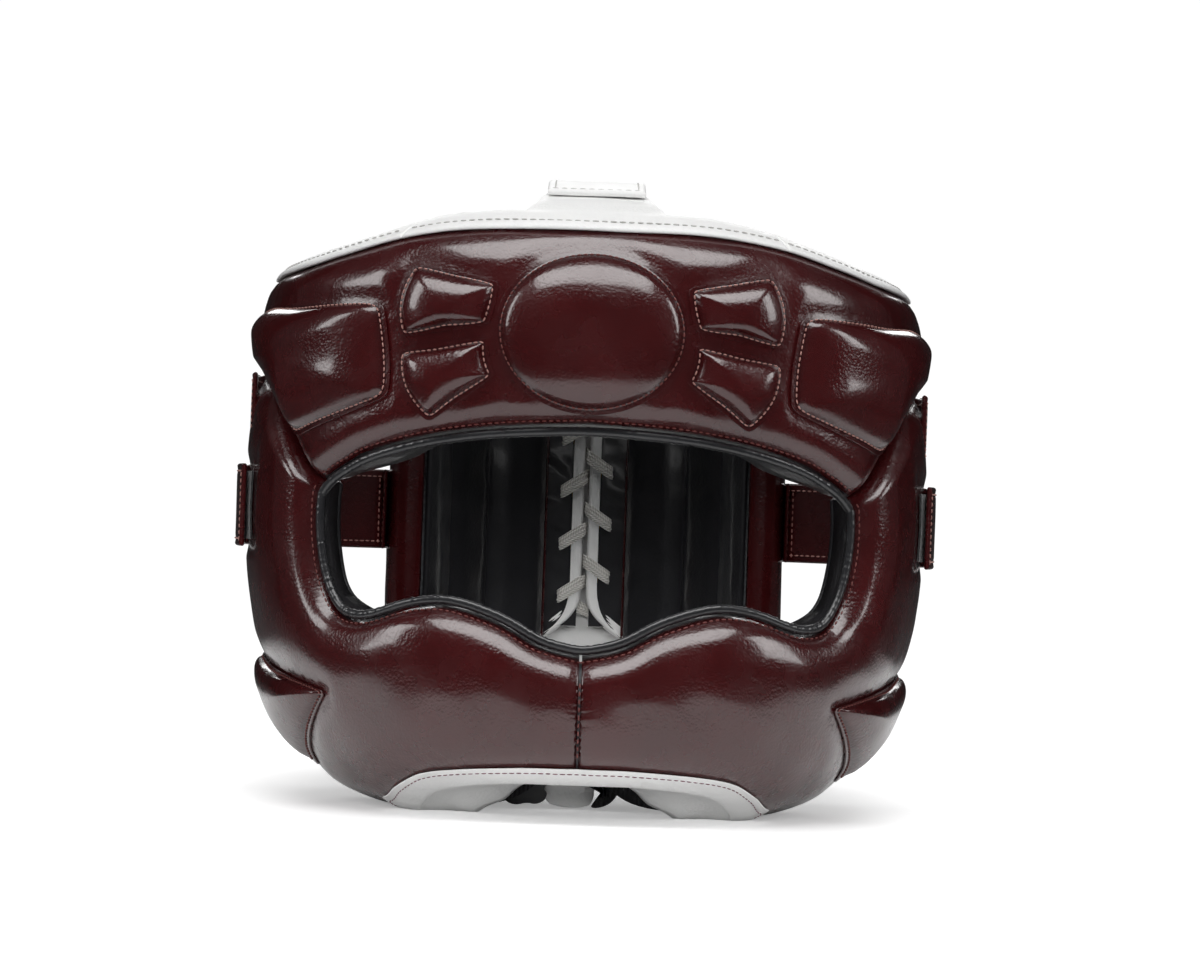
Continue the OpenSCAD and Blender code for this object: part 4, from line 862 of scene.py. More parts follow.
face_steps = np.concatenate([[0, 0.008, 0.0086], np.linspace(0.012, 1, 230)])
for side, word in ((-1, "left"), (1, "right")):
    cols = face_columns(face_steps, side, 0.1)
    back = cols["thick"] - HIDE_MM - SEWN_GAP
    outer_s, outer_d = wrap(cols, back, FACE_ROUND, flats=60)
    inner_s, inner_d = wrap(cols, back, FACE_ROUND, HIDE_MM, flats=60)
    inner_s, inner_d = closed_ends(inner_s, inner_d, back, face_steps < 0.0083)
    share = np.clip(outer_s / cols["span"][:, None], 0, 1)
    angle_here = mix(cols["start"][:, :1], cols["end"][:, :1], share)
    z_here = mix(cols["start"][:, 1:], cols["end"][:, 1:], share)
    plain = shell(angle_here, z_here, 0)
    mark = face_marks[side] * [side, 1]
    sink, creases, edge = stretched(plain, angle_here, z_here, FACE_EDGES, [mark], 80 + side, 0.35)
    sink += creases
    run = (face_steps * FACE_RUN)[:, None] + 0 * share
    edge_creases = 0.3 * gathers(run, edge, FACE_RUN, 4.5, 2.6, 84 + side) * ease(edge)
    sink += edge_creases * ease(face_steps / 0.04)[:, None]
    # The middle seam draws both halves in, with short gathers across the bar
    to_seam = np.abs(plain[..., 0])
    seam_creases = 0.35 * gathers(outer_s, to_seam, 40, 4.0, 2.6, 88 + side)
    sink += SEAM_SINK * np.exp(-(to_seam / SEAM_REACH) ** 2) + seam_creases
    outer, inner = on_band(cols, outer_s, outer_d, sink), on_band(cols, inner_s, inner_d, sink)
    eye_wall = (outer_s < 0.6) & (outer_d > EYE_WALL)
    # Painted shade along the pad's edges and in the middle seam's groove
    shade_near_seams = np.exp(-(edge / 2.2) ** 2) * 0.6 + np.exp(-(to_seam / 1.2) ** 2)
    eye_rows.append(above(outer, inner)[face_steps > 0.03, EYE_ROW])
    middle_row = outer[-1, 13:-13] * [0, 1, 1] + [0, -0.3, 0]
    cover = ringed("face_hide_" + word, outer, inner, [oxblood, lining_hide], np.minimum(shade_near_seams, 1), eye_wall)
    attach(cover, "guard")
    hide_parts("face_cover_" + word)
    lining("face_inner_hide_" + word, picked(cols, np.arange(1, len(face_steps))[::2]), SEWN_GAP,
           "face_lining_" + word, 90 + side, puffed=0.5, fold=FACING_IN)

sew("eye_opening_stitches", eye_rows, dark_thread, closed=False, pitch=2.3, size=1.6)
sew("bar_seam_stitches", [middle_row], dark_thread, closed=False, pitch=2.6, size=1.9, radius=0.34)

core_steps = np.linspace(0.03, 1, 60)
both = np.concatenate([core_steps, core_steps[-2::-1]])
sides = np.r_[np.ones(len(core_steps)), -np.ones(len(core_steps) - 1)]
foam_core("face_core", face_columns(both, sides), FACE_ROUND, FACE_EDGES, "face_foam")


def binding(name, cols, round_r, wide_out, wide_in, at_start, node, sink_of, seed, deep=0.0):
    """White cowhide folded over a band's edge, from its face round to its inner side."""
    h = cols["span"][:, None]
    top = cols["lift"][:, None] + round_r
    wide_out = np.broadcast_to(np.asarray(wide_out, float), (len(h),))[:, None]
    first = np.arcsin(np.clip((round_r - wide_out) / (round_r + SEWN_GAP), 0, 1))

    def run(gap):
        arc = mix(first, np.pi / 2, np.linspace(0, 1, 9)[None])
        lead = mix(wide_out, np.minimum(wide_out, round_r), np.linspace(0, 1, 4)[None, :-1])
        lead_d = np.where(wide_out < round_r, top - (round_r + gap) * np.cos(first),
                          cols["lift"][:, None] - gap)
        wall = mix(top, cols["thick"][:, None] - 1.5, np.linspace(0.12, 1, 9)[None])
        leg = np.linspace(0, 1, 22)[None] * (wide_in + gap)
        s = [lead, round_r - (round_r + gap) * np.sin(arc), -gap + 0 * wall, -gap + leg + 0 * h]
        d = [lead_d + 0 * lead, top - (round_r + gap) * np.cos(arc), wall,
             cols["thick"][:, None] + gap + 0 * leg]
        s, d = np.concatenate(s, 1), np.concatenate(d, 1)
        return (s if at_start else h - s), d, np.clip(s, 0, None)

    pair = []
    for gap, puckered in ((SEWN_GAP + HIDE_MM, True), (SEWN_GAP, False)):
        s, d, inward = run(gap)
        sink = sink_of(cols, s)
        lie = np.zeros(s.shape)
        if puckered:
            plain = on_band(cols, s, d)
            along = np.r_[0, np.cumsum(np.linalg.norm(np.diff(plain[:, 0], axis=0), axis=1))][:, None]
            inside_leg = np.clip((d - cols["thick"][:, None] + 1) / 2, 0, 1)
            lie = 0.5 * gathers(along, inward, 300, 6.0, 9.0, seed) * inside_leg * ease(inward / 2)
            lie = lie + deep * ripple(plain, 12, seed) * inside_leg * ease(inward / 4)
            sink = sink + 0.12 * ripple(plain, 7, seed) * (1 - inside_leg)
        pair.append(on_band(cols, s, d - lie, sink))
    made = ringed(name, pair[0], pair[1], [white_hide], np.zeros(pair[0].shape[:2]))
    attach(made, "guard")
    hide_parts(node)


def face_lie(cols, s):
    """How deep the face covers lie at s mm up their columns."""
    share = np.clip(s / cols["span"][:, None], 0, 1)
    angle = mix(cols["start"][:, :1], cols["end"][:, :1], share)
    z = mix(cols["start"][:, 1:], cols["end"][:, 1:], share)
    plain = shell(angle, z, 0)
    seam = SEAM_SINK * np.exp(-(np.abs(plain[..., 0]) / SEAM_REACH) ** 2)
    return stretched(plain, angle, z, FACE_EDGES, [face_marks[1]], 80, 0.0)[0] + seam - 0.2


# White cowhide: chalky and almost matt, so that only its folds and stitch grooves show; the grooves carry a
# faint painted shade
white_hide = hide("white_cowhide", "#eaeaea", "#f2f2f0", grain_mm=1.0, rough=0.5, seam_shade_strength=0.06, coat=0.05)
facing_steps = np.linspace(0.47, 1, 150)
both = np.concatenate([facing_steps, facing_steps[-2::-1]])
sides = np.r_[np.ones(len(facing_steps)), -np.ones(len(facing_steps) - 1)]
facing_out = FACING_WIDE * ease((both - 0.645) / 0.035)
arch_columns = face_columns(both, sides)
binding("chin_arch_binding", arch_columns, FACE_ROUND, facing_out, FACING_IN, False, "chin_facing", face_lie,
        101, deep=0.5)

# Fine plum stitches 2 mm from the binding's upper edge, from one jaw to the other; the
# thread is close to the oxblood's reflections in tone, so the row stays quiet
plum_thread = thread("plum_thread", "#8a5f6c")
ROW_BELOW_EDGE = 1.9
shown = np.flatnonzero(facing_out > 2.6)
row = picked(arch_columns, shown)
up = facing_out[shown][:, None] - ROW_BELOW_EDGE
lifted = FACE_ROUND + SEWN_GAP + HIDE_MM + 0.12
row_deep = FACE_ROUND + row["lift"][:, None] - np.sqrt(lifted**2 - (FACE_ROUND - up) ** 2)
row_s = row["span"][:, None] - up
sew("chin_arch_stitches", [on_band(row, row_s, row_deep, face_lie(row, row_s))[:, 0]], plum_thread,
    closed=False, pitch=2.4, size=1.9, radius=0.24)

# Piping round the eye opening: a soft black roll, drawn into small gathers
PIPE_MM, PIPE_DEEP, PIPE_SIDES = 3.0, 7.2, 16
EYE_MIDDLE = [0, -131, 92]
top_angles = np.linspace(-48.5, 48.5, 100)
top = np.stack([top_angles, brow_low(top_angles)], 1)
right = curve(EYE_EDGE, np.linspace(0.03, 1, 130))
loop = np.concatenate([top, right, right[-2::-1] * [-1, 1]])
edge_line = shell(loop[:, 0], loop[:, 1], PIPE_DEEP)
for _ in range(6):
    edge_line = (np.roll(edge_line, 1, 0) + 2 * edge_line + np.roll(edge_line, -1, 0)) / 4
gap = np.linalg.norm(edge_line - np.roll(edge_line, 1, 0), axis=1)
reach = np.cumsum(gap)
even = np.linspace(0, reach[-1], 760, endpoint=False)
whole = np.concatenate([edge_line[-1:], edge_line])
edge_line = np.stack([np.interp(even, np.r_[0, reach], whole[:, k]) for k in range(3)], 1)
ahead = np.roll(edge_line, -3, 0) - np.roll(edge_line, 3, 0)
ahead /= np.linalg.norm(ahead, axis=1)[:, None]
off_face = edge_line * [1, 1, 0]
off_face /= np.linalg.norm(off_face, axis=1)[:, None]
into_eye = np.cross(off_face, ahead)
into_eye /= np.linalg.norm(into_eye, axis=1)[:, None]
into_eye *= np.sign((into_eye * (EYE_MIDDLE - edge_line)).sum(1))[:, None]
third = np.cross(ahead, into_eye)
axis_line = edge_line + into_eye * (PIPE_MM / 2 + SEWN_GAP)
gathered = 0.16 * gathers(even[:, None], 0.0, reach[-1], 2.6, 9.0, 110)
swell = (1 + gathered + 0.04 * ripple(axis_line, 9, 111)[:, None]) * np.ones(PIPE_SIDES)
spin = np.linspace(0, 2 * np.pi, PIPE_SIDES, endpoint=False)[None, :, None]
round_off = np.cos(spin) * into_eye[:, None] + np.sin(spin) * third[:, None]
tube = axis_line[:, None] + PIPE_MM / 2 * swell[..., None] * 0.97 * round_off
piping = new_piece("eye_opening_piping", tube.reshape(-1, 3), tube_faces(len(tube), PIPE_SIDES, True),
                   [lining_hide], np.zeros(len(tube) * PIPE_SIDES))
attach(piping, "guard")
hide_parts("eye_piping")


# Rear pads
# Two long pads wrap the back of the head. Two stitched channels run up each; on the
# inside they make three soft black rolls. The nape notch is bound in white cowhide.
REAR_WIDE, REAR_DEEP, NAPE_ROUND, NAPE_Z, REAR_Y = 146.0, 96.0, 300.0, 95.0, 30.1
REAR_SQUARENESS = 2.4
REAR_TOP, REAR_ROUND, REAR_THICK = 190.0, 6.0, 18.0
NAPE_EDGE = [(0, 63), (17, 51), (28, 34), (40, 14), (50, 4), (60, 1.5), (90, 1.5)]
PAD_X = 17.0
NAPE_BINDING = 7.0
REAR_RUN = 125
CHANNELS = (1 / 3, 2 / 3)


def rear_half(angle, z, depth):
    """Points of the guard's rear half in mm: plan angle from the middle of the back."""
    angle, z, depth = np.broadcast_arrays(*[np.asarray(value, float) for value in (angle, z, depth)])
    a = REAR_WIDE / 2
    b = REAR_DEEP - NAPE_ROUND + np.sqrt(NAPE_ROUND**2 - (z - NAPE_Z) ** 2)
    t = np.radians(np.clip(np.abs(angle), 1e-3, 90))
    sine, cosine = np.sin(t), np.maximum(np.cos(t), 1e-9)
    nx, ny = sine ** (2 - 2 / REAR_SQUARENESS) / a, cosine ** (2 - 2 / REAR_SQUARENESS) / b
    n = np.hypot(nx, ny)
    x = np.sign(angle) * (a * sine ** (2 / REAR_SQUARENESS) - depth * nx / n)
    y = REAR_Y + b * cosine ** (2 / REAR_SQUARENESS) - depth * ny / n
    return np.stack([x, y, np.maximum(z, 0)], -1)


def rear_at(x):
    """Plan angle of the rear half at x."""
    out = np.minimum(np.abs(x) * 2 / REAR_WIDE, 1)
    return np.sign(x) * np.degrees(np.arcsin(out ** (REAR_SQUARENESS / 2)))


def rear_columns(share, side):
    """Columns of one rear pad, from the lacing (share 0) round to its front edge."""
    angle = mix(rear_at(PAD_X), 90.0, share)
    x = REAR_WIDE / 2 * np.sin(np.radians(angle)) ** (2 / REAR_SQUARENESS)
    thick = REAR_THICK - 4 * (1 - np.abs(np.sin(np.pi * 3 * share))) ** 2
    gone = REAR_RUN * np.minimum(share, 1 - share)
    rounded = np.sqrt(np.maximum(REAR_ROUND**2 - np.maximum(REAR_ROUND - gone, 0) ** 2, 0))
    low, high = np.stack([angle, curve(NAPE_EDGE, x)], 1), np.stack([angle, 0 * angle + REAR_TOP], 1)
    return column_set(low, high, thick, 0.8 * (REAR_ROUND - rounded), rear=True, side=side)


def rear_ways(cols, s, share):
    """From each point of a rear pad, the way to its edge and to its nearest channel."""
    ends = REAR_RUN * np.minimum(share, 1 - share)[:, None]
    edge = np.minimum(np.minimum(s, cols["span"][:, None] - s), ends)
    return edge, np.minimum(*[np.abs(share - at) for at in CHANNELS])[:, None] * REAR_RUN


def rear_lie(cols, s, share):
    """Sink of a rear pad's outer face: crowned, with two stitched channels."""
    edge, seam = rear_ways(cols, s, share)
    return -1.4 * ease((edge - 7) / 8) + 1.5 * np.exp(-(seam / 2.4) ** 2) * ease((edge - 2) / 8)


rear_share = np.concatenate([[0, 0.0096, 0.0126], np.linspace(0.016, 0.984, 190), [0.9874, 0.9904, 1]])
for side, word in ((-1, "left"), (1, "right")):
    cols = rear_columns(rear_share, side)
    back = cols["thick"] - HIDE_MM - SEWN_GAP
    outer_s, outer_d = wrap(cols, back, REAR_ROUND, flats=90)
    inner_s, inner_d = wrap(cols, back, REAR_ROUND, HIDE_MM, flats=90)
    inner_s, inner_d = closed_ends(inner_s, inner_d, back, (rear_share < 0.01) | (rear_share > 0.99))
    plain = on_band(cols, outer_s, 0 * outer_d)
    sink = rear_lie(cols, outer_s, rear_share)
    edge, seam = rear_ways(cols, outer_s, rear_share)
    sink += 0.25 * ripple(plain, 19, 120 + side) * ease((edge - 7) / 6)
    sink += 0.5 * gathers(outer_s, seam + 0 * outer_s, 180, 5, 5, 122 + side) * ease((edge - 4) / 6)
    outer, inner = on_band(cols, outer_s, outer_d, sink), on_band(cols, inner_s, inner_d, sink)
    # Painted shade in the stitched channels' grooves
    shade_near_seams = np.exp(-(seam / 1.5) ** 2) * 0.8 * ease(edge / 8)
    channels = [np.abs(rear_share - at).argmin() for at in CHANNELS]
    sew("rear_channel_stitches_" + word, list(above(outer, inner)[channels, 16:-16]), rose_thread,
        closed=False, pitch=2.4, size=1.8)
    cover = ringed("rear_hide_" + word, outer, inner, [oxblood], shade_near_seams)
    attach(cover, "guard")
    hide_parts("rear_cover_" + word)
    keep = np.arange(3, len(rear_share) - 3)
    kept_cols, kept_share = picked(cols, keep), rear_share[keep]
    rolls = 1.6 * np.abs(np.sin(np.pi * 3 * kept_share)) ** 0.7
    lining("rear_inner_hide_" + word, kept_cols, SEWN_GAP, "rear_lining_" + word, 130 + side,
           fold=NAPE_BINDING, at_start=True, steps=110, channels=rolls, wave=0.7)
    foam_core("rear_core_" + word, picked(cols, keep[1:-1:3]), REAR_ROUND, None, "rear_foam_" + word)
    binding("nape_binding_%s_hide" % word, kept_cols, REAR_ROUND, NAPE_BINDING, NAPE_BINDING, True,
            "nape_binding_" + word, lambda c, s: rear_lie(c, s, kept_share) - 0.1, 140 + side)


# Lacing
# Two black plackets stand between the rear pads. Their meeting edges are bound in
# white cowhide, and a flat braided lace runs in through the slit, over a binding, out
# through a brass eyelet and back. On the inside a soft black flap hides the eyelets.
PLACKET_DEPTH, PLACKET_MM = 6.0, 3.0
PLACKET_TOP = 189.0
SLIT_MM, BINDING_MM, BINDING_THICK = 2.6, 4.4, 0.8
EYELET_BORE, EYELET_X, EYELET_LOW, EYELET_PITCH, STAGGER, EYELETS = 6.4, 10.1, 69.0, 21.0, 8.0, 6
LACE_WIDE, LACE_THICK, LACE_SLANT = 4.7, 1.4, 7.0
NAPE_AXIS_Y = REAR_Y + REAR_DEEP - NAPE_ROUND
BINDING_NOSE = 1.2
FLAP_OUT, FLAP_FROM, FLAP_TO, FLAP_LOW = 16.6, 9.66, 10.25, 52.6


def nape(x, depth, z):
    """Points between the rear pads: across, depth below the pads' face, height."""
    x, depth, z = np.broadcast_arrays(*[np.asarray(value, float) for value in (x, depth, z)])
    turned = np.arcsin((z - NAPE_Z) / NAPE_ROUND)
    return np.stack([x, NAPE_AXIS_Y + (NAPE_ROUND - depth) * np.cos(turned),
                     NAPE_Z + (NAPE_ROUND - depth) * np.sin(turned)], -1)


def leather_slab(name, outer, inner, material, node, body):
    """Closed sheet between two grids of points, with what it stands for."""
    made = ringed(name, outer, inner, [material])
    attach(made, body)
    if node:
        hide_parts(node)


# Braided cotton: matt off-white, its ribs and slanting strands shaded in their hollows
PLAIT_MM, RIB_MM = 1.15, 1.2
lace_cord, tree, shader = finish_material("braided_cotton_lace")
along_lace = add(tree, "ShaderNodeUVMap", uv_map="weave")
flat = add(tree, "ShaderNodeSeparateXYZ", {"Vector": along_lace.outputs["UV"]})
lean_in = add(tree, "ShaderNodeMath", {0: flat.outputs["Y"], 1: 2 * RIB_MM}, operation="PINGPONG")
steep = add(tree, "ShaderNodeMath", {0: lean_in.outputs[0], 1: 0.9, 2: flat.outputs["X"]},
            operation="MULTIPLY_ADD")
plait = add(tree, "ShaderNodeMath", {0: steep.outputs[0], 1: 2 * math.pi / PLAIT_MM}, operation="MULTIPLY")
strand = add(tree, "ShaderNodeMath", {0: plait.outputs[0]}, operation="SINE")
rib = add(tree, "ShaderNodeMath", {0: flat.outputs["Y"], 1: 2 * math.pi / RIB_MM}, operation="MULTIPLY")
ribs = add(tree, "ShaderNodeMath", {0: rib.outputs[0]}, operation="COSINE")
relief = add(tree, "ShaderNodeMath", {0: strand.outputs[0], 1: ribs.outputs[0]}, operation="ADD")
tint = add(tree, "ShaderNodeMapRange", {"Value": relief.outputs[0], "From Min": -2.0, "From Max": 1.4})
cotton = add(tree, "ShaderNodeMix",
             {"Factor": tint.outputs["Result"], "A": linear("#bdbab4"), "B": linear("#ebe9e4")},
             data_type="RGBA")
tree.links.new(cotton.outputs["Result"], shader.inputs["Base Color"])
bump = add(tree, "ShaderNodeBump", {"Height": relief.outputs[0], "Strength": 0.7, "Distance": 0.00016})
tree.links.new(bump.outputs["Normal"], shader.inputs["Normal"])
shader.inputs["Roughness"].default_value = 0.85


def eyelet_z(k, side):
    """Height of an eyelet; the right row is set a little higher."""
    return EYELET_LOW + k * EYELET_PITCH + (STAGGER if side > 0 else 0)


for side, word in ((-1, "left"), (1, "right")):
    # The binding comes down the slit and swings out along the nape notch
    down = [(0.0, PLACKET_TOP)] + [(0.0, z) for z in np.arange(180, 72, -9)]
    down += [(0.2, 70.0), (1.2, 65.5), (3.6, 61.5), (7.5, 57.8), (12.0, 54.2), (16.2, 51.2)]
    key = np.r_[0, np.cumsum(np.linalg.norm(np.diff(down, axis=0), axis=1))]
    path = curve(list(zip(key, down)), np.linspace(0, key[-1], 190))
    ahead = np.gradient(path, axis=0)
    ahead /= np.linalg.norm(ahead, axis=1)[:, None]
    away = np.stack([-ahead[:, 1], ahead[:, 0]], 1)
    half = PLACKET_MM / 2 + SEWN_GAP + BINDING_THICK

    def u_section(gap):
        """Half turn round the placket's edge with a leg on each side: (across, depth)."""
        r = half - gap
        leg = np.linspace(BINDING_MM, BINDING_NOSE, 12)
        nose = np.radians(np.linspace(90, -90, 13))
        tip = BINDING_NOSE - (BINDING_NOSE - gap) * np.cos(nose)[1:-1]
        s = np.concatenate([leg, tip, leg[::-1]])
        d = np.concatenate([leg * 0 + r, r * np.sin(nose)[1:-1], leg * 0 - r])
        ridge = np.where(s > 1.0, 0.24 * np.sin((s - 1.0) * 2 * np.pi / 1.7) ** 2 - 0.12, 0)
        return s, d + np.sign(d) * ridge * (gap < 0.1)

    grids = []
    for gap in (0.0, BINDING_THICK):
        s, d = u_section(gap)
        x = SLIT_MM / 2 - 0.4 + path[:, :1] + away[:, :1] * s[None]
        z = path[:, 1:] + away[:, 1:] * s[None]
        fold = 0.16 * ripple(nape(x, 0, z), 8, 150 + side) if gap == 0 else 0.0
        deep = PLACKET_DEPTH + PLACKET_MM / 2 + d[None] + fold * np.sign(d[None])
        grids.append(nape(side * x, deep, z))
    leather_slab("placket_binding_%s_hide" % word, grids[0], grids[1], white_hide,
                 "placket_binding_" + word, "guard")
    # Soft black flap over the placket's inner side, from the binding to the pad's lining
    share = np.linspace(0, 1, 26)[None]
    x = mix(np.minimum(5.6 + path[:, :1] * 0.72, FLAP_OUT - 1), FLAP_OUT, share)
    z = np.maximum(path[:, 1:], FLAP_LOW) + 0 * x
    z = np.where(z < 62, np.maximum(z, 62 - (x - 1) * 0.68), z)
    soft = 0.35 * ripple(nape(x, 0, z), 9, 160 + side)
    soft = soft * np.minimum(share * 6, 1) * np.minimum((1 - share) * 6, 1)
    leather_slab("placket_flap_" + word, nape(side * x, FLAP_TO + soft, z), nape(side * x, FLAP_FROM, z),
                 lining_hide, None, "guard")
    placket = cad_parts["lacing_placket_" + word].data
    placket.materials.clear()
    placket.materials.append(lining_hide)

# Spun brass: a warm mirror dulled in patches by handling
TARNISH_PATCH = 0.004
brass, tree, shader = finish_material("spun_brass_eyelet")
here = add(tree, "ShaderNodeTexCoord").outputs["Object"]
tarnish = add(tree, "ShaderNodeTexNoise", {"Vector": here, "Scale": 1 / TARNISH_PATCH, "Detail": 4.0})
gilt = add(tree, "ShaderNodeMix", {"Factor": tarnish.outputs["Fac"], "A": linear("#b18b4a"),
                                   "B": linear("#d8bd7f")}, data_type="RGBA")
tree.links.new(gilt.outputs["Result"], shader.inputs["Base Color"])
shader.inputs["Metallic"].default_value = 1.0
scuff = add(tree, "ShaderNodeMapRange", {"Value": tarnish.outputs["Fac"], "To Min": 0.18, "To Max": 0.42})
tree.links.new(scuff.outputs["Result"], shader.inputs["Roughness"])


def eyelet_tree():
    """Geometry Nodes: a rolled flange each side of a barrel, at every point of the row."""
    tree = bpy.data.node_groups.new("eyelet_row", "GeometryNodeTree")
    ports = tree.interface
    ports.new_socket("Spots", in_out="INPUT", socket_type="NodeSocketGeometry")
    for label, value in (("Bore", 0.0064), ("Flange Width", 0.0017), ("Flange Height", 0.0005),
                         ("Grip", 0.0032)):
        ports.new_socket(label, in_out="INPUT", socket_type="NodeSocketFloat").default_value = value
    ports.new_socket("Metal", in_out="INPUT", socket_type="NodeSocketMaterial")
    ports.new_socket("Eyelets", in_out="OUTPUT", socket_type="NodeSocketGeometry")
    given, out = add(tree, "NodeGroupInput"), add(tree, "NodeGroupOutput")
    half_bore = add(tree, "ShaderNodeMath", {0: given.outputs["Bore"], 1: 0.5}, operation="MULTIPLY")
    ring_at = add(tree, "ShaderNodeMath", {0: given.outputs["Flange Width"], 1: 0.5, 2: half_bore.outputs[0]},
                  operation="MULTIPLY_ADD")
    joined = add(tree, "GeometryNodeJoinGeometry")
    for way in (-1.0, 1.0):
        ring = add(tree, "GeometryNodeCurvePrimitiveCircle", {"Resolution": 28, "Radius": ring_at.outputs[0]})
        bead = add(tree, "GeometryNodeCurvePrimitiveCircle", {"Resolution": 10, "Radius": 1.0})
        bead_size = add(tree, "ShaderNodeCombineXYZ",
                        {"X": 0.00085, "Y": given.outputs["Flange Height"], "Z": 1.0})
        bead = add(tree, "GeometryNodeTransform", {"Geometry": bead.outputs["Curve"],
                                                   "Scale": bead_size.outputs[0]})
        roll = add(tree, "GeometryNodeCurveToMesh", {"Curve": ring.outputs["Curve"],
                                                     "Profile Curve": bead.outputs["Geometry"]})
        up = add(tree, "ShaderNodeMath", {0: given.outputs["Grip"], 1: 0.5 * way}, operation="MULTIPLY")
        offset = add(tree, "ShaderNodeCombineXYZ", {"Z": up.outputs[0]})
        placed = add(tree, "GeometryNodeTransform", {"Geometry": roll.outputs["Mesh"],
                                                     "Translation": offset.outputs[0]})
        tree.links.new(placed.outputs["Geometry"], joined.inputs["Geometry"])
    barrel_at = add(tree, "ShaderNodeMath", {0: half_bore.outputs[0], 1: 0.00022}, operation="ADD")
    ring = add(tree, "GeometryNodeCurvePrimitiveCircle", {"Resolution": 28, "Radius": barrel_at.outputs[0]})
    wall = add(tree, "GeometryNodeCurvePrimitiveCircle", {"Resolution": 8, "Radius": 1.0})
    half_grip = add(tree, "ShaderNodeMath", {0: given.outputs["Grip"], 1: 0.5}, operation="MULTIPLY")
    wall_size = add(tree, "ShaderNodeCombineXYZ", {"X": 0.0002, "Y": half_grip.outputs[0], "Z": 1.0})
    wall = add(tree, "GeometryNodeTransform", {"Geometry": wall.outputs["Curve"],
                                               "Scale": wall_size.outputs[0]})
    barrel = add(tree, "GeometryNodeCurveToMesh", {"Curve": ring.outputs["Curve"],
                                                   "Profile Curve": wall.outputs["Geometry"]})
    tree.links.new(barrel.outputs["Mesh"], joined.inputs["Geometry"])
    tilt = add(tree, "GeometryNodeInputNamedAttribute", {"Name": "tilt"}, data_type="FLOAT")
    tip = add(tree, "ShaderNodeCombineXYZ", {"X": tilt.outputs["Attribute"]})
    row = add(tree, "GeometryNodeInstanceOnPoints",
              {"Points": given.outputs["Spots"], "Instance": joined.outputs["Geometry"],
               "Rotation": tip.outputs[0]})
    real = add(tree, "GeometryNodeRealizeInstances", {"Geometry": row.outputs["Instances"]})
    dyed = add(tree, "GeometryNodeSetMaterial", {"Geometry": real.outputs["Geometry"],
                                                 "Material": given.outputs["Metal"]})
    tree.links.new(dyed.outputs["Geometry"], out.inputs["Eyelets"])
    return tree


eyelets = eyelet_tree()
for side, word in ((-1, "left"), (1, "right")):
    heights = np.array([eyelet_z(k, side) for k in range(EYELETS)])
    spots = nape(side * EYELET_X, PLACKET_DEPTH + PLACKET_MM / 2, heights)
    tilts = np.arcsin((heights - NAPE_Z) / NAPE_ROUND) - np.pi / 2
    made = grow("brass_eyelets_" + word, spots, [], eyelets, {"tilt": tilts}, Bore=EYELET_BORE / 1000,
                Grip=0.0032, Metal=brass)
    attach(made, "guard")
    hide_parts("eyelets_" + word)

# The lace's route by its corners, right eyelet first in each pair, then softened
lace_in = PLACKET_DEPTH + PLACKET_MM + 2 * SEWN_GAP + BINDING_THICK + LACE_THICK / 2 + 0.15
lace_out = PLACKET_DEPTH - 2 * SEWN_GAP - BINDING_THICK - LACE_THICK / 2
corners = [(-9, lace_out, eyelet_z(EYELETS - 1, 1) + LACE_SLANT)]
for k in range(EYELETS - 1, -1, -1):
    for side in (1, -1):
        z = eyelet_z(k, side)
        corners += [(0, lace_out, z + LACE_SLANT), (0, lace_in, z + LACE_SLANT),
                    (side * EYELET_X, lace_in, z), (side * EYELET_X, lace_out, z)]
corners.append((9, lace_out, EYELET_LOW - LACE_SLANT))
route = np.array(corners, float)
dense = [route[0]]
for a, b in zip(route, route[1:]):
    steps = max(int(np.linalg.norm(b - a) / 1.2), 2)
    dense += [mix(a, b, k / steps) for k in range(1, steps + 1)]
route = np.array(dense)
for _ in range(7):
    route[1:-1] = (route[:-2] + 2 * route[1:-1] + route[2:]) / 4
reach = np.r_[0, np.cumsum(np.linalg.norm(np.diff(route, axis=0), axis=1))]
even = np.linspace(0, reach[-1], 900)
route = np.stack([np.interp(even, reach, route[:, k]) for k in range(3)], 1)
line = nape(route[:, 0], route[:, 1], route[:, 2])
ahead = np.gradient(line, axis=0)
ahead /= np.linalg.norm(ahead, axis=1)[:, None]
wide_way = np.array([0, 0, 1.0]) - ahead * ahead[:, 2:]
wide_way /= np.linalg.norm(wide_way, axis=1)[:, None]
flat_way = np.cross(ahead, wide_way)
spin = np.linspace(0, 2 * np.pi, 26, endpoint=False)
across_mm = np.sign(np.cos(spin)) * np.abs(np.cos(spin)) ** 0.7 * LACE_WIDE / 2
rib_mm = 0.1 * np.cos(across_mm / LACE_WIDE * 8 * np.pi)
way_out = np.sign(np.sin(spin))
through_mm = way_out * np.abs(np.sin(spin)) ** 0.6 * (LACE_THICK / 2 - 0.1) + rib_mm * way_out
across_part = across_mm[None, :, None] * wide_way[:, None]
tube = line[:, None] + across_part + through_mm[None, :, None] * flat_way[:, None]
m, n = tube.shape[:2]
lace_faces = tube_faces(m, n).tolist()
lace_faces += [list(range(n - 1, -1, -1)), [(m - 1) * n + k for k in range(n)]]
lace = new_piece("braided_lace", tube.reshape(-1, 3), lace_faces, [lace_cord])
weave = lace.data.uv_layers.new(name="weave")
corner_points = np.zeros(len(lace.data.loops), np.int32)
lace.data.loops.foreach_get("vertex_index", corner_points)
uv = np.stack([even[corner_points // n], across_mm[corner_points % n]], 1)
weave.data.foreach_set("uv", uv.astype(np.float32).ravel())
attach(lace, "guard")
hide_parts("lace")


# Lace cover
# A white cowhide flap closes over the lacing. Its left edge is sewn down, and hook tape
# under its free side meets loop tape on the right pad.
COVER_HALF, COVER_LOW, COVER_TOP = 37.0, 12.0, 184.0
TAPE_MM, CROWN_MM, COVER_HOOK_X, TAPE_LOW = 0.8, 2.4, 21.0, 60.0
STACK_MM = 2 * TAPE_MM + 3 * SEWN_GAP
ROW_IN = 2.6


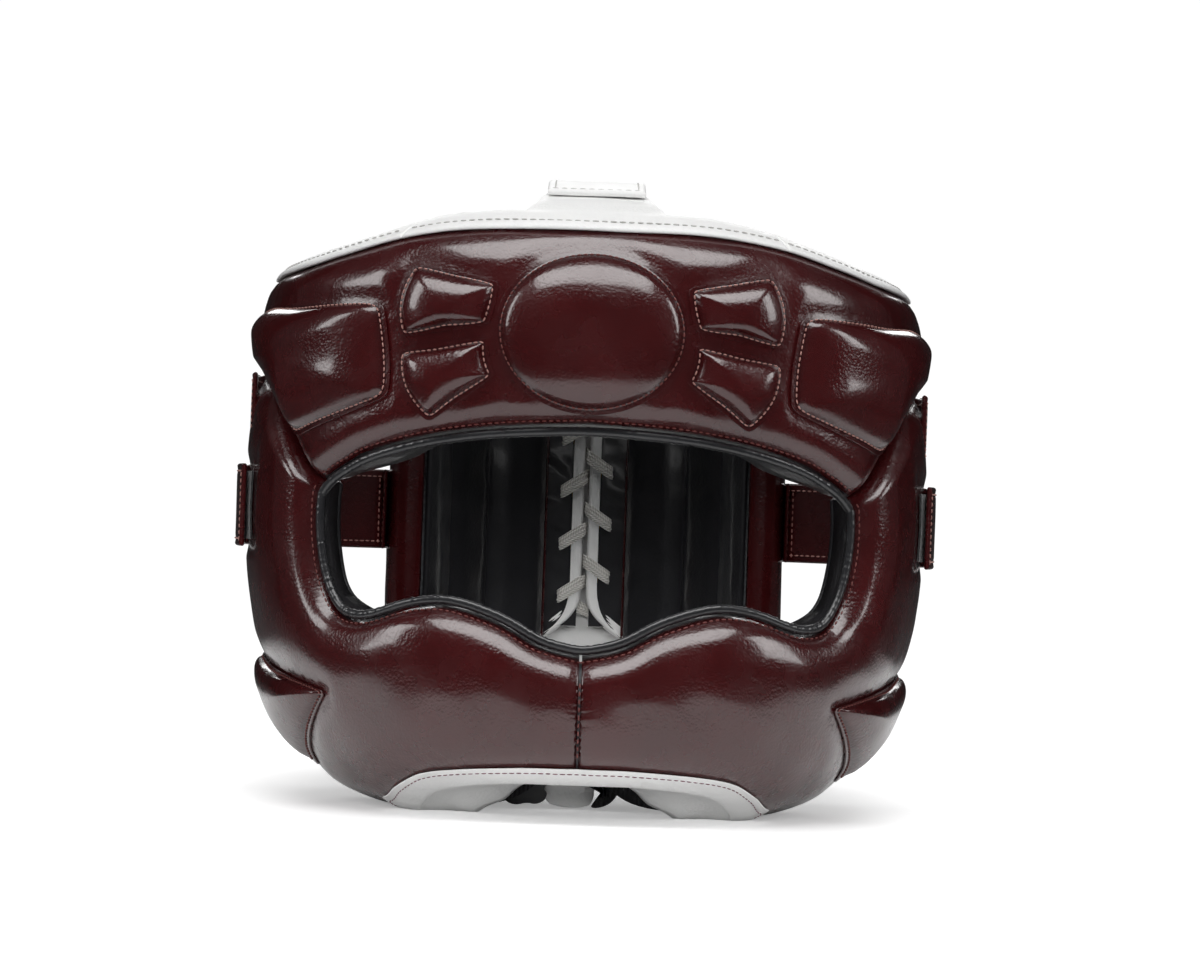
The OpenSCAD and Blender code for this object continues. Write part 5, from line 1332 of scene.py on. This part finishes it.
def spaced(length, step, edge):
    """Distances along a strip, close together at its rounded ends."""
    close = np.array([0, 0.06, 0.2, 0.42, 0.7, 1.0]) * edge
    middle = np.linspace(edge, length - edge, max(int((length - 2 * edge) / step), 2) + 1)[1:-1]
    return np.concatenate([close, middle, length - close[::-1]])


def strip(name, place, length, width, mid, thick, material, body, node, edge, step=3.0, wave=0.0,
          seed=1, groove=0.0):
    """Sheet with rounded edges; place(along, across, depth) gives its points in mm."""
    along, across = np.meshgrid(spaced(length, step, edge), spaced(width, step, edge), indexing="ij")
    rim = np.minimum(np.minimum(along, length - along), np.minimum(across, width - across))
    half = thick / 2 * np.sqrt(np.maximum(1 - (1 - np.minimum(rim / edge, 1)) ** 2, 0.04))
    soft = wave * ripple(place(along, across, mid + 0 * rim), 24, seed)
    dent = groove * np.exp(-((rim - ROW_IN) / 0.7) ** 2)
    # The last argument paints shade in the stitch groove ROW_IN mm inside the edge
    made = ringed(name, place(along, across, mid - half + dent - soft),
                  place(along, across, mid + half - soft), [material],
                  groove * 1.5 * np.exp(-((rim - ROW_IN) / 0.8) ** 2))
    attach(made, body)
    if node:
        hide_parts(node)


def border(place, length, width, depth, inset=ROW_IN, sides="nesw"):
    """Lines for stitches, inset from the chosen edges of a strip."""
    a, c = [np.arange(inset, size - inset + 0.1, 1.5) for size in (length, width)]
    rows = {"n": (length - inset + 0 * c, c), "s": (inset + 0 * c, c),
            "e": (a, width - inset + 0 * a), "w": (a, inset + 0 * a)}
    return [place(*rows[k], depth + 0 * rows[k][0]) for k in sides]


HOOK_PITCH, PILE = 0.0012, 0.0009


def tape(name, hooked):
    """Black nylon fastening tape: rows of small hooks, or a brushed loop pile."""
    made, tree, shader = finish_material(name)
    here = add(tree, "ShaderNodeTexCoord").outputs["Object"]
    if hooked:
        dots = add(tree, "ShaderNodeTexVoronoi", {"Vector": here, "Scale": 1 / HOOK_PITCH,
                                                  "Randomness": 0.25})
        height, deep = dots.outputs["Distance"], 0.0005
    else:
        pile = add(tree, "ShaderNodeTexNoise", {"Vector": here, "Scale": 1 / PILE, "Detail": 6.0,
                                                "Distortion": 1.5})
        height, deep = pile.outputs["Fac"], 0.0007
    # Painted shade: the colour darkens where the bump is low, in the hollows between hooks and in the pile
    tint = add(tree, "ShaderNodeMix", {"Factor": height, "A": linear("#0f0f10"), "B": linear("#2a2a2c")},
               data_type="RGBA")
    tree.links.new(tint.outputs["Result"], shader.inputs["Base Color"])
    bump = add(tree, "ShaderNodeBump", {"Height": height, "Strength": 0.9, "Distance": deep})
    tree.links.new(bump.outputs["Normal"], shader.inputs["Normal"])
    shader.inputs["Roughness"].default_value = 0.5 if hooked else 0.9
    shader.inputs["Sheen Weight"].default_value = 0.1 if hooked else 0.5
    return made


# Hook tape glints in points; loop tape is a dull fuzz that lightens at its edges
hook_tape, loop_tape = tape("black_nylon_hook_tape", True), tape("black_brushed_loop_tape", False)
white_thread = thread("white_bonded_thread", "#cfcdca")
black_thread = thread("black_bonded_thread", "#1b1b1d")

TAPE_FLOOR, TAPE_MEET = -SEWN_GAP - TAPE_MM, -2 * SEWN_GAP - 2 * TAPE_MM
cover_mid = TAPE_MEET - SEWN_GAP - CROWN_MM / 2
cover_long = COVER_TOP - COVER_LOW


def on_cover(a, c, d):
    """Place on the lace cover: mm up, mm across from its sewn edge, depth."""
    return rear_half(rear_at(c - COVER_HALF), COVER_LOW + a, d)


def on_tape(a, c, d):
    """Place on the lace cover's tapes, over the right pad."""
    return rear_half(rear_at(COVER_HOOK_X + c), TAPE_LOW + a, d)


strip("lace_cover_flap", on_cover, cover_long, 2 * COVER_HALF, cover_mid, CROWN_MM, white_hide,
      "lace_cover", "lace_cover", edge=1.2, step=2.2, wave=0.35, seed=171, groove=0.3)
sew("lace_cover_stitches", border(on_cover, cover_long, 2 * COVER_HALF, cover_mid - CROWN_MM / 2 + 0.1),
    white_thread, "lace_cover", False, pitch=3.0, size=2.3)
tape_long = COVER_TOP - 6 - TAPE_LOW
strip("lace_cover_hook_tape", on_tape, tape_long, 14.0, TAPE_FLOOR - SEWN_GAP - TAPE_MM / 2, TAPE_MM,
      hook_tape, "lace_cover", "lace_cover_hook", edge=0.5)
strip("lace_cover_loop_tape", on_tape, tape_long, 20.0, -SEWN_GAP - TAPE_MM / 2, TAPE_MM, loop_tape,
      "guard", "lace_cover_loop", edge=0.5)


# Crown
# White cowhide rims are sewn on the tops of the pads; in front they roll over the
# pad's corner. A yoke grows from each towards the middle, and a wide strap, stitched
# in front and on hook and loop tape behind, joins them over the top of the head.
CROWN_ROUND, CROWN_MID_Y, CROWN_MID_Z = 259.859, -3.287, -43.278
STRAP_FRONT_Y, STRAP_REAR_Y, STRAP_WIDE = -62.0, 98.0, 34.0
RIM_IN, TONGUE, RIM_START = 28.0, 17.0, np.radians(26)
RIM_LIE = SEWN_GAP + 0.1
REAR_RIM_TURN, REAR_RIM_LONG, REAR_RIM_WIDE = 62, 160, 16
ROLLED = BROW_ROUND * (np.pi / 2 - RIM_START)
RIM_WIDE = ROLLED + RIM_IN - BROW_ROUND


def crown_turn(y):
    """Turn of the crown's round at a place y mm back."""
    return np.arccos((y - CROWN_MID_Y) / CROWN_ROUND)


def over_crown(y0, wide):
    """Place on the crown's curve: mm back from y0, mm across, depth below the curve."""
    def place(a, c, d):
        turn = crown_turn(y0) - a / CROWN_ROUND
        return np.stack([c - wide / 2 + 0 * a, CROWN_MID_Y + (CROWN_ROUND - d) * np.cos(turn),
                         CROWN_MID_Z + (CROWN_ROUND - d) * np.sin(turn)], -1)
    return place


def crown_z(y, lift):
    """Height of the crown's round, lifted by so many mm, at y."""
    return CROWN_MID_Z + np.sqrt((CROWN_ROUND + lift) ** 2 - (y - CROWN_MID_Y) ** 2)


def front_rim(t0, t1, tongue):
    """Place on the forehead pad's rounded top edge between plan angles t0 and t1."""
    def place(a, c, d, long=1.0):
        angle = mix(t0, t1, a / long)
        x = shell(angle, brow_high(angle), RIM_IN)[..., 0]
        on = (1 - ease((np.abs(x) - STRAP_WIDE / 2 - 2) / 4)) * tongue
        turn = np.minimum(RIM_START + c / BROW_ROUND, np.pi / 2)
        flat = np.maximum(c - ROLLED, 0) * (1 + TONGUE * on / (RIM_IN - BROW_ROUND))
        deep = BROW_ROUND * (1 - np.cos(turn)) + flat
        drop = BROW_ROUND * (1 - np.sin(turn))
        drawn = CURL_DEEP * (1 - drop / CURL_REACH) ** 2 * np.clip(1 - deep / 29, 0, 1)
        lift = RIM_LIE - d
        at = shell(angle, brow_high(angle) - drop, deep + drawn - lift * np.cos(turn))
        arc = crown_z(at[..., 1], STACK_MM - SEWN_GAP - CROWN_MM) - d
        on_pad = brow_high(angle) - drop + 0.04 * flat
        at[..., 2] = mix(on_pad + lift * np.sin(turn), arc, on * ease((deep - 8) / 12))
        return at
    ends = np.linspace(0, 1, 60)
    long = np.linalg.norm(np.diff(place(ends, 9 + 0 * ends, 0 * ends), axis=0), axis=1).sum()
    return (lambda a, c, d: place(a, c, d, long)), long


crown_lines = []
for name, t0, t1, tongue, node in (("crown_front_rim", -36.2, 36.2, 1, "crown_front_yoke"),
                                   ("crown_rim_left", -84.0, -36.35, 0, "crown_side_band_left"),
                                   ("crown_rim_right", 36.35, 84.0, 0, "crown_side_band_right")):
    on_rim, long = front_rim(t0, t1, tongue)
    strip(name, on_rim, long, RIM_WIDE, -CROWN_MM / 2, CROWN_MM, white_hide, "guard", node,
          edge=1.2, step=1.6, wave=0.22, seed=180, groove=0.25)
    crown_lines += border(on_rim, long, RIM_WIDE, -CROWN_MM - 0.02, sides="w")


def rear_rim(a, c, d):
    """Place on the rear pads' top: mm along it and mm inwards."""
    angle = mix(-REAR_RIM_TURN, REAR_RIM_TURN, a / REAR_RIM_LONG)
    x = rear_half(angle, REAR_TOP, 0)[..., 0]
    on = 1 - ease((np.abs(x) - STRAP_WIDE / 2 - 2) / 8)
    deep = mix(2.5, REAR_THICK + 0.1 + 18 * on, c / REAR_RIM_WIDE)
    at = rear_half(angle, REAR_TOP, deep)
    arc = np.maximum(crown_z(at[..., 1], -CROWN_MM), REAR_TOP + SEWN_GAP)
    at[..., 2] = mix(REAR_TOP + SEWN_GAP, arc, on * ease((deep - 4) / 12)) - d
    return at


strip("crown_rear_rim", rear_rim, REAR_RIM_LONG, REAR_RIM_WIDE, -CROWN_MM / 2, CROWN_MM, white_hide, "guard",
      "crown_rear_yoke", edge=1.2, step=1.6, wave=0.2, seed=185, groove=0.25)
crown_lines += border(rear_rim, REAR_RIM_LONG, REAR_RIM_WIDE, -CROWN_MM - 0.02, sides="w")
sew("crown_rim_stitches", crown_lines, white_thread, closed=False, pitch=3.0, size=2.3)

on_strap = over_crown(STRAP_FRONT_Y, STRAP_WIDE)
strap_long = (crown_turn(STRAP_FRONT_Y) - crown_turn(STRAP_REAR_Y)) * CROWN_ROUND
strap_mid = -(STACK_MM + CROWN_MM / 2)
strip("crown_top_strap", on_strap, strap_long, STRAP_WIDE, strap_mid, CROWN_MM, white_hide, "crown_strap",
      "crown_strap", edge=1.2, step=1.8, wave=0.2, seed=190, groove=0.3)
sew("crown_strap_stitches", border(on_strap, strap_long, STRAP_WIDE, strap_mid - CROWN_MM / 2 + 0.1),
    white_thread, "crown_strap", False, pitch=3.0, size=2.3)
for name, y0, y1, lift, material, body, node in (
        ("crown_hook_tape", 74.0, 96.0, 1.4 + TAPE_MM / 2, hook_tape, "crown_strap", "crown_strap_hook"),
        ("crown_loop_tape", 76.0, 94.0, SEWN_GAP + TAPE_MM / 2, loop_tape, "guard", "crown_loop_patch")):
    long = (crown_turn(y0) - crown_turn(y1)) * CROWN_ROUND
    strip(name, over_crown(y0, STRAP_WIDE - 4), long, STRAP_WIDE - 4, -lift, TAPE_MM, material, body, node,
          edge=0.5)


# Side straps
# Burgundy straps come off the rear pads' front edges. The upper pair is sewn at the
# temples, and the ear straps close on the cheek columns with hook and loop tape.
SIDE_STRAP_MM, ROOT_LONG, ROOT_MM = 1.8, 19, 1.5
TEMPLE_STRAP_Z, TEMPLE_STRAP_HIGH, EAR_STRAP_HIGH = 137.0, 24.0, 29.0
EAR_TAPE_HIGH, EAR_TAPE_START, MM_PER_DEGREE = 24, 86, 2.45


def side_strap(z0, high, lift, seat, side):
    """Place along a side strap from the rear pad to its landing, and its length."""
    d = -lift - SIDE_STRAP_MM / 2
    a = np.array([REAR_WIDE / 2 + SEWN_GAP + SIDE_STRAP_MM / 2, REAR_Y + 5])
    b = shell(94, z0, d - 0.6)[:2]
    near_a, near_b = np.array([mix(a[0], b[0], 0.3), a[1] - 9]), b + [-2, 12]
    v = np.linspace(0, 1, 40)[:, None]
    w = 1 - v
    bend = a * w**3 + near_a * 3 * v * w**2 + near_b * 3 * v**2 * w + b * v**3
    land = shell(np.linspace(90, seat, 30), z0, d)[:, :2]
    run = np.concatenate([bend, land])
    for _ in range(3):
        run[1:-1] = (run[:-2] + 2 * run[1:-1] + run[2:]) / 4
    reach = np.r_[0, np.cumsum(np.linalg.norm(np.diff(run, axis=0), axis=1))]
    way = np.gradient(run, axis=0)
    way /= np.linalg.norm(way, axis=1)[:, None]

    def place(along, across, depth):
        x, y, tx, ty = [np.interp(along, reach, key) for key in (*run.T, *way.T)]
        return np.stack([side * (x - ty * -depth), y + tx * -depth, z0 - high / 2 + across], -1)
    return place, reach[-1]


for side, word in ((-1, "left"), (1, "right")):
    straps = (("temple", TEMPLE_STRAP_Z, TEMPLE_STRAP_HIGH, SEWN_GAP, 80, "guard"),
              ("ear", EAR_STRAP_Z, EAR_STRAP_HIGH, STACK_MM, 74, "ear_strap_" + word))
    for part, z0, high, _, _, _ in straps:
        def on_pad(a, c, d):
            """Place on the rear pad's front end, where a strap starts in a stitched box."""
            return rear_half(90 - a * 1.12, z0 - high / 2 + c, d) * [side, 1, 1]

        strip("%s_strap_root_%s" % (part, word), on_pad, ROOT_LONG, high, -SEWN_GAP - ROOT_MM / 2, ROOT_MM,
              oxblood, "guard", None, edge=0.8, step=1.5, wave=0.1, seed=196 + side,
              groove=0.25)
        sew("%s_strap_root_stitches_%s" % (part, word),
            border(on_pad, ROOT_LONG, high, -SEWN_GAP - ROOT_MM + 0.1), rose_thread, closed=False)
    for part, z0, high, lift, seat, body in straps:
        place, long = side_strap(z0, high, lift, seat, side)
        strip("%s_strap_hide_%s" % (part, word), place, long, high, 0.0, SIDE_STRAP_MM, oxblood, body,
              "%s_strap_%s" % (part, word), edge=0.9, step=1.5, wave=0.12,
              seed=200 + side, groove=0.28)
        rows = [border(place, long, high, depth)
                for depth in (-SIDE_STRAP_MM / 2 + 0.12, SIDE_STRAP_MM / 2 - 0.02)]
        sew("%s_strap_stitches_%s" % (part, word), rows[0] + rows[1], rose_thread, body, False)

    def on_cheek(a, c, d):
        """Place on the cheek column's outer face, mm forward and mm up from the tape's corner."""
        angle = side * (EAR_TAPE_START - a / MM_PER_DEGREE)
        return shell(angle, EAR_STRAP_Z - EAR_TAPE_HIGH / 2 + c, d)

    strip("ear_hook_tape_" + word, on_cheek, (EAR_TAPE_START - 78) * MM_PER_DEGREE, EAR_TAPE_HIGH,
          TAPE_FLOOR - SEWN_GAP - TAPE_MM / 2, TAPE_MM, hook_tape, "ear_strap_" + word,
          "ear_strap_hook_" + word, edge=0.5)
    strip("ear_loop_tape_" + word, on_cheek, (EAR_TAPE_START - 74) * MM_PER_DEGREE, EAR_TAPE_HIGH,
          -SEWN_GAP - TAPE_MM / 2, TAPE_MM, loop_tape, "guard", "ear_loop_patch_" + word,
          edge=0.5)


# Chin webbing
# Black webbing hangs from an anchor inside each jaw and laps under the chin, with hook
# tape on the upper strap and loop tape on the lower.
CHIN_Y, CHIN_WIDE, CHIN_MM, CHIN_LOW, CHIN_LAP, CHIN_LEVEL = -40.0, 26.0, 2.0, 10.0, 11.0, 9.0
ROOT_FRONT, ROOT_REAR = np.array([43.51, -56.13, 4.45]), np.array([50.13, -33.08, 4.76])
ROOT_CLEAR = 1.7
ANCHOR_LONG, ANCHOR_MM, ANCHOR_CLEAR = 26, 1.6, 2.9
CHIN_TAPE_LONG, CHIN_TAPE_WIDE = 16, 22

# Black webbing: a dull rib, each yarn painted lighter on its crest as a faint sheen and darker in its hollows
# as shade. The ribs come out 2.4 and 1.6 mm apart, coarser than real
WARP, WEFT = 0.0075, 0.0052
webbing, tree, shader = finish_material("black_polyester_webbing")
here = add(tree, "ShaderNodeTexCoord").outputs["Object"]
warp = add(tree, "ShaderNodeTexWave", {"Vector": here, "Scale": 1 / WARP, "Distortion": 0.6},
           bands_direction="Y")
weft = add(tree, "ShaderNodeTexWave", {"Vector": here, "Scale": 1 / WEFT, "Distortion": 0.4},
           bands_direction="X")
weave = add(tree, "ShaderNodeMath", {0: warp.outputs["Fac"], 1: weft.outputs["Fac"]}, operation="ADD")
tint = add(tree, "ShaderNodeMapRange", {"Value": weave.outputs[0], "From Max": 2.0})
# Painted sheen and shade: lighter on the weave's crests, darker in its hollows
yarn_sheen_and_shade = add(tree, "ShaderNodeMix", {"Factor": tint.outputs["Result"], "A": linear("#0c0c0d"),
                                   "B": linear("#2b2b2d")}, data_type="RGBA")
tree.links.new(yarn_sheen_and_shade.outputs["Result"], shader.inputs["Base Color"])
bump = add(tree, "ShaderNodeBump", {"Height": weave.outputs[0], "Strength": 0.8, "Distance": 0.0004})
tree.links.new(bump.outputs["Normal"], shader.inputs["Normal"])
shader.inputs["Roughness"].default_value = 0.65


def chin_run(side, lift):
    """Place along a chin strap, from its free end under the chin to its root on the jaw."""
    middle = mix(ROOT_FRONT, ROOT_REAR, 0.7) - [ROOT_CLEAR, 0, 0]
    free_end, bend = [-CHIN_LAP, lift + CHIN_MM / 2], [CHIN_LEVEL, lift + CHIN_MM / 2]
    path = np.concatenate([np.linspace(free_end, bend, 22), np.linspace(bend, middle[[0, 2]], 34)[1:]])
    for _ in range(14):
        path[1:-1] = (path[:-2] + 2 * path[1:-1] + path[2:]) / 4
    reach = np.r_[0, np.cumsum(np.linalg.norm(np.diff(path, axis=0), axis=1))]
    way = np.gradient(path, axis=0)
    way /= np.linalg.norm(way, axis=1)[:, None]

    def place(along, across, depth):
        x, z, tx, tz = [np.interp(along, reach, key) for key in (*path.T, *way.T)]
        y = CHIN_Y - CHIN_WIDE / 2 + across
        back = (y - ROOT_FRONT[1]) / (ROOT_REAR[1] - ROOT_FRONT[1])
        root = mix(ROOT_FRONT, ROOT_REAR, back[..., None])
        hold = np.clip((x - CHIN_LEVEL) / (middle[0] - CHIN_LEVEL), 0, 1)
        x = x + hold * (root[..., 0] - ROOT_CLEAR - middle[0]) - tz * -depth
        return np.stack([side * x, y, z + hold * (root[..., 2] - middle[2]) + tx * -depth], -1)
    return place, reach[-1]


for side, word, lift in ((1, "right", CHIN_LOW), (-1, "left", CHIN_LOW + CHIN_MM + STACK_MM)):
    place, long = chin_run(side, lift)
    strip("chin_webbing_" + word, place, long, CHIN_WIDE, 0.0, CHIN_MM, webbing, "chin_strap_" + word,
          "chin_strap_" + word, edge=0.9, step=1.6, wave=0.1, seed=220 + side)
    ends = border(place, long, CHIN_WIDE, -CHIN_MM / 2 - 0.02, inset=3.0, sides="ns")
    sew("chin_webbing_stitches_" + word, ends, black_thread, "chin_strap_" + word, False)

    def on_jaw(a, c, d):
        """Place on the inner side of the jaw, mm forward and mm up from its edge."""
        cols = face_columns((0.55 + 0.08 * a / ANCHOR_LONG).ravel(), side)
        deep = cols["thick"][:, None] + ANCHOR_CLEAR - d.reshape(-1, 1)
        low, high = [on_band(cols, cols["span"][:, None] - v, deep)[:, 0]
                     for v in (0.18 * FACING_IN, FACING_IN / 2)]
        up = (c / (FACING_IN / 2)).reshape(-1, 1)
        return mix(low, high, up).reshape(a.shape + (3,))

    strip("chin_anchor_tab_" + word, on_jaw, ANCHOR_LONG, FACING_IN / 2, 0.0, ANCHOR_MM, webbing, "guard",
          "chin_anchor_" + word, edge=0.7, step=2.0)


def under_chin(z):
    """Place on a level tape between the two straps' laps, its lower side at z."""
    return lambda a, c, d: np.stack([a - CHIN_TAPE_LONG / 2, CHIN_Y - CHIN_TAPE_WIDE / 2 + c,
                                     z + TAPE_MM / 2 - d], -1)


loop_z = CHIN_LOW + CHIN_MM + SEWN_GAP
for name, z, material, word, node in (
        ("chin_loop_tape", loop_z, loop_tape, "right", "chin_strap_loop"),
        ("chin_hook_tape", loop_z + TAPE_MM + SEWN_GAP, hook_tape, "left", "chin_strap_hook")):
    strip(name, under_chin(z), CHIN_TAPE_LONG, CHIN_TAPE_WIDE, 0.0, TAPE_MM, material, "chin_strap_" + word,
          node, edge=0.5)


# Chin pull tabs
# Short leather ends hang from the webbing and show under the chin arch: a black notched
# pull tab, a white tab beside it and the webbing's own folded ends.
TAB_ROUND, HANG_Z = 0.6, 12


def hanging(name, outline, y, thick, lean, material, body):
    """Tab cut to an outline of (across, height) in mm, hanging at y and leaning back."""
    ring = np.array(outline, float)
    for _ in range(2):
        after = np.roll(ring, -1, 0)
        ring = np.stack([mix(ring, after, 0.25), mix(ring, after, 0.75)], 1).reshape(-1, 2)
    middle = ring.mean(0)
    rings = []
    for inset, deep in ((1, 0), (0.25, 0.15), (0, 0.5), (0.25, 0.85), (1, 1)):
        way = ring - middle
        at = middle + way * (1 - inset * TAB_ROUND / np.linalg.norm(way, axis=1).clip(1)[:, None])
        depth = y + thick * deep + (at[:, 1] - HANG_Z) * lean
        rings.append(np.stack([at[:, 0], depth, at[:, 1]], -1))
    back = (middle[1] - HANG_Z) * lean
    centre = [[middle[0], y + back, middle[1]], [middle[0], y + thick + back, middle[1]]]
    n = len(ring)
    faces = tube_faces(5, n).tolist()
    faces += [[5 * n, (j + 1) % n, j] for j in range(n)]
    faces += [[5 * n + 1, 4 * n + j, 4 * n + (j + 1) % n] for j in range(n)]
    made = new_piece(name, np.concatenate(rings + [centre]), faces, [material], np.zeros(5 * n + 2))
    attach(made, body)


PULL_TAB = [(-25, 11.4), (-11.5, 12.4), (-9.6, 9), (-11.4, 7.4), (-9.8, 5.4), (-11, 2.6), (-14, 1.4),
            (-17, 2), (-21, 0.9), (-24.6, 2.2), (-25.6, 5), (-24.4, 7), (-26, 9)]
WHITE_TAB = [(-12, 11.6), (6, 11.6), (6.4, 4), (4, 0.8), (-6, 0.7), (-11, 2.6)]
FOLD = [(2, 12.2), (15.6, 11.4), (15.2, 7), (12, 2.4), (7, 0.7), (4.6, 1.5), (9, 5), (8, 8), (2.4, 9)]
TAIL_RIGHT = [(10, 11.4), (20, 9.8), (33, 7.2), (46, 4.8), (48, 1.2), (33, 0.6), (20, 2.4), (12, 7)]
TAIL_LEFT = [(-46, 4.8), (-34, 8), (-22, 11.4), (-14, 13.2), (-13, 9), (-22, 3), (-34, 0.7), (-47, 1)]
LEATHER_TAB, FOLDED = 1.6, 2.0
hanging("chin_pull_tab", PULL_TAB, -54.6, LEATHER_TAB, -0.25, lining_hide, "chin_strap_right")
hanging("chin_white_tab", WHITE_TAB, -52.6, LEATHER_TAB, -0.1, white_hide, "chin_strap_right")
hanging("chin_webbing_fold", FOLD, -55.6, FOLDED, -0.15, webbing, "chin_strap_right")
hanging("chin_webbing_tail_right", TAIL_RIGHT, -56.6, FOLDED, 0.05, webbing, "chin_strap_right")
hanging("chin_webbing_tail_left", TAIL_LEFT, -56.2, FOLDED, 0.05, webbing, "chin_strap_left")
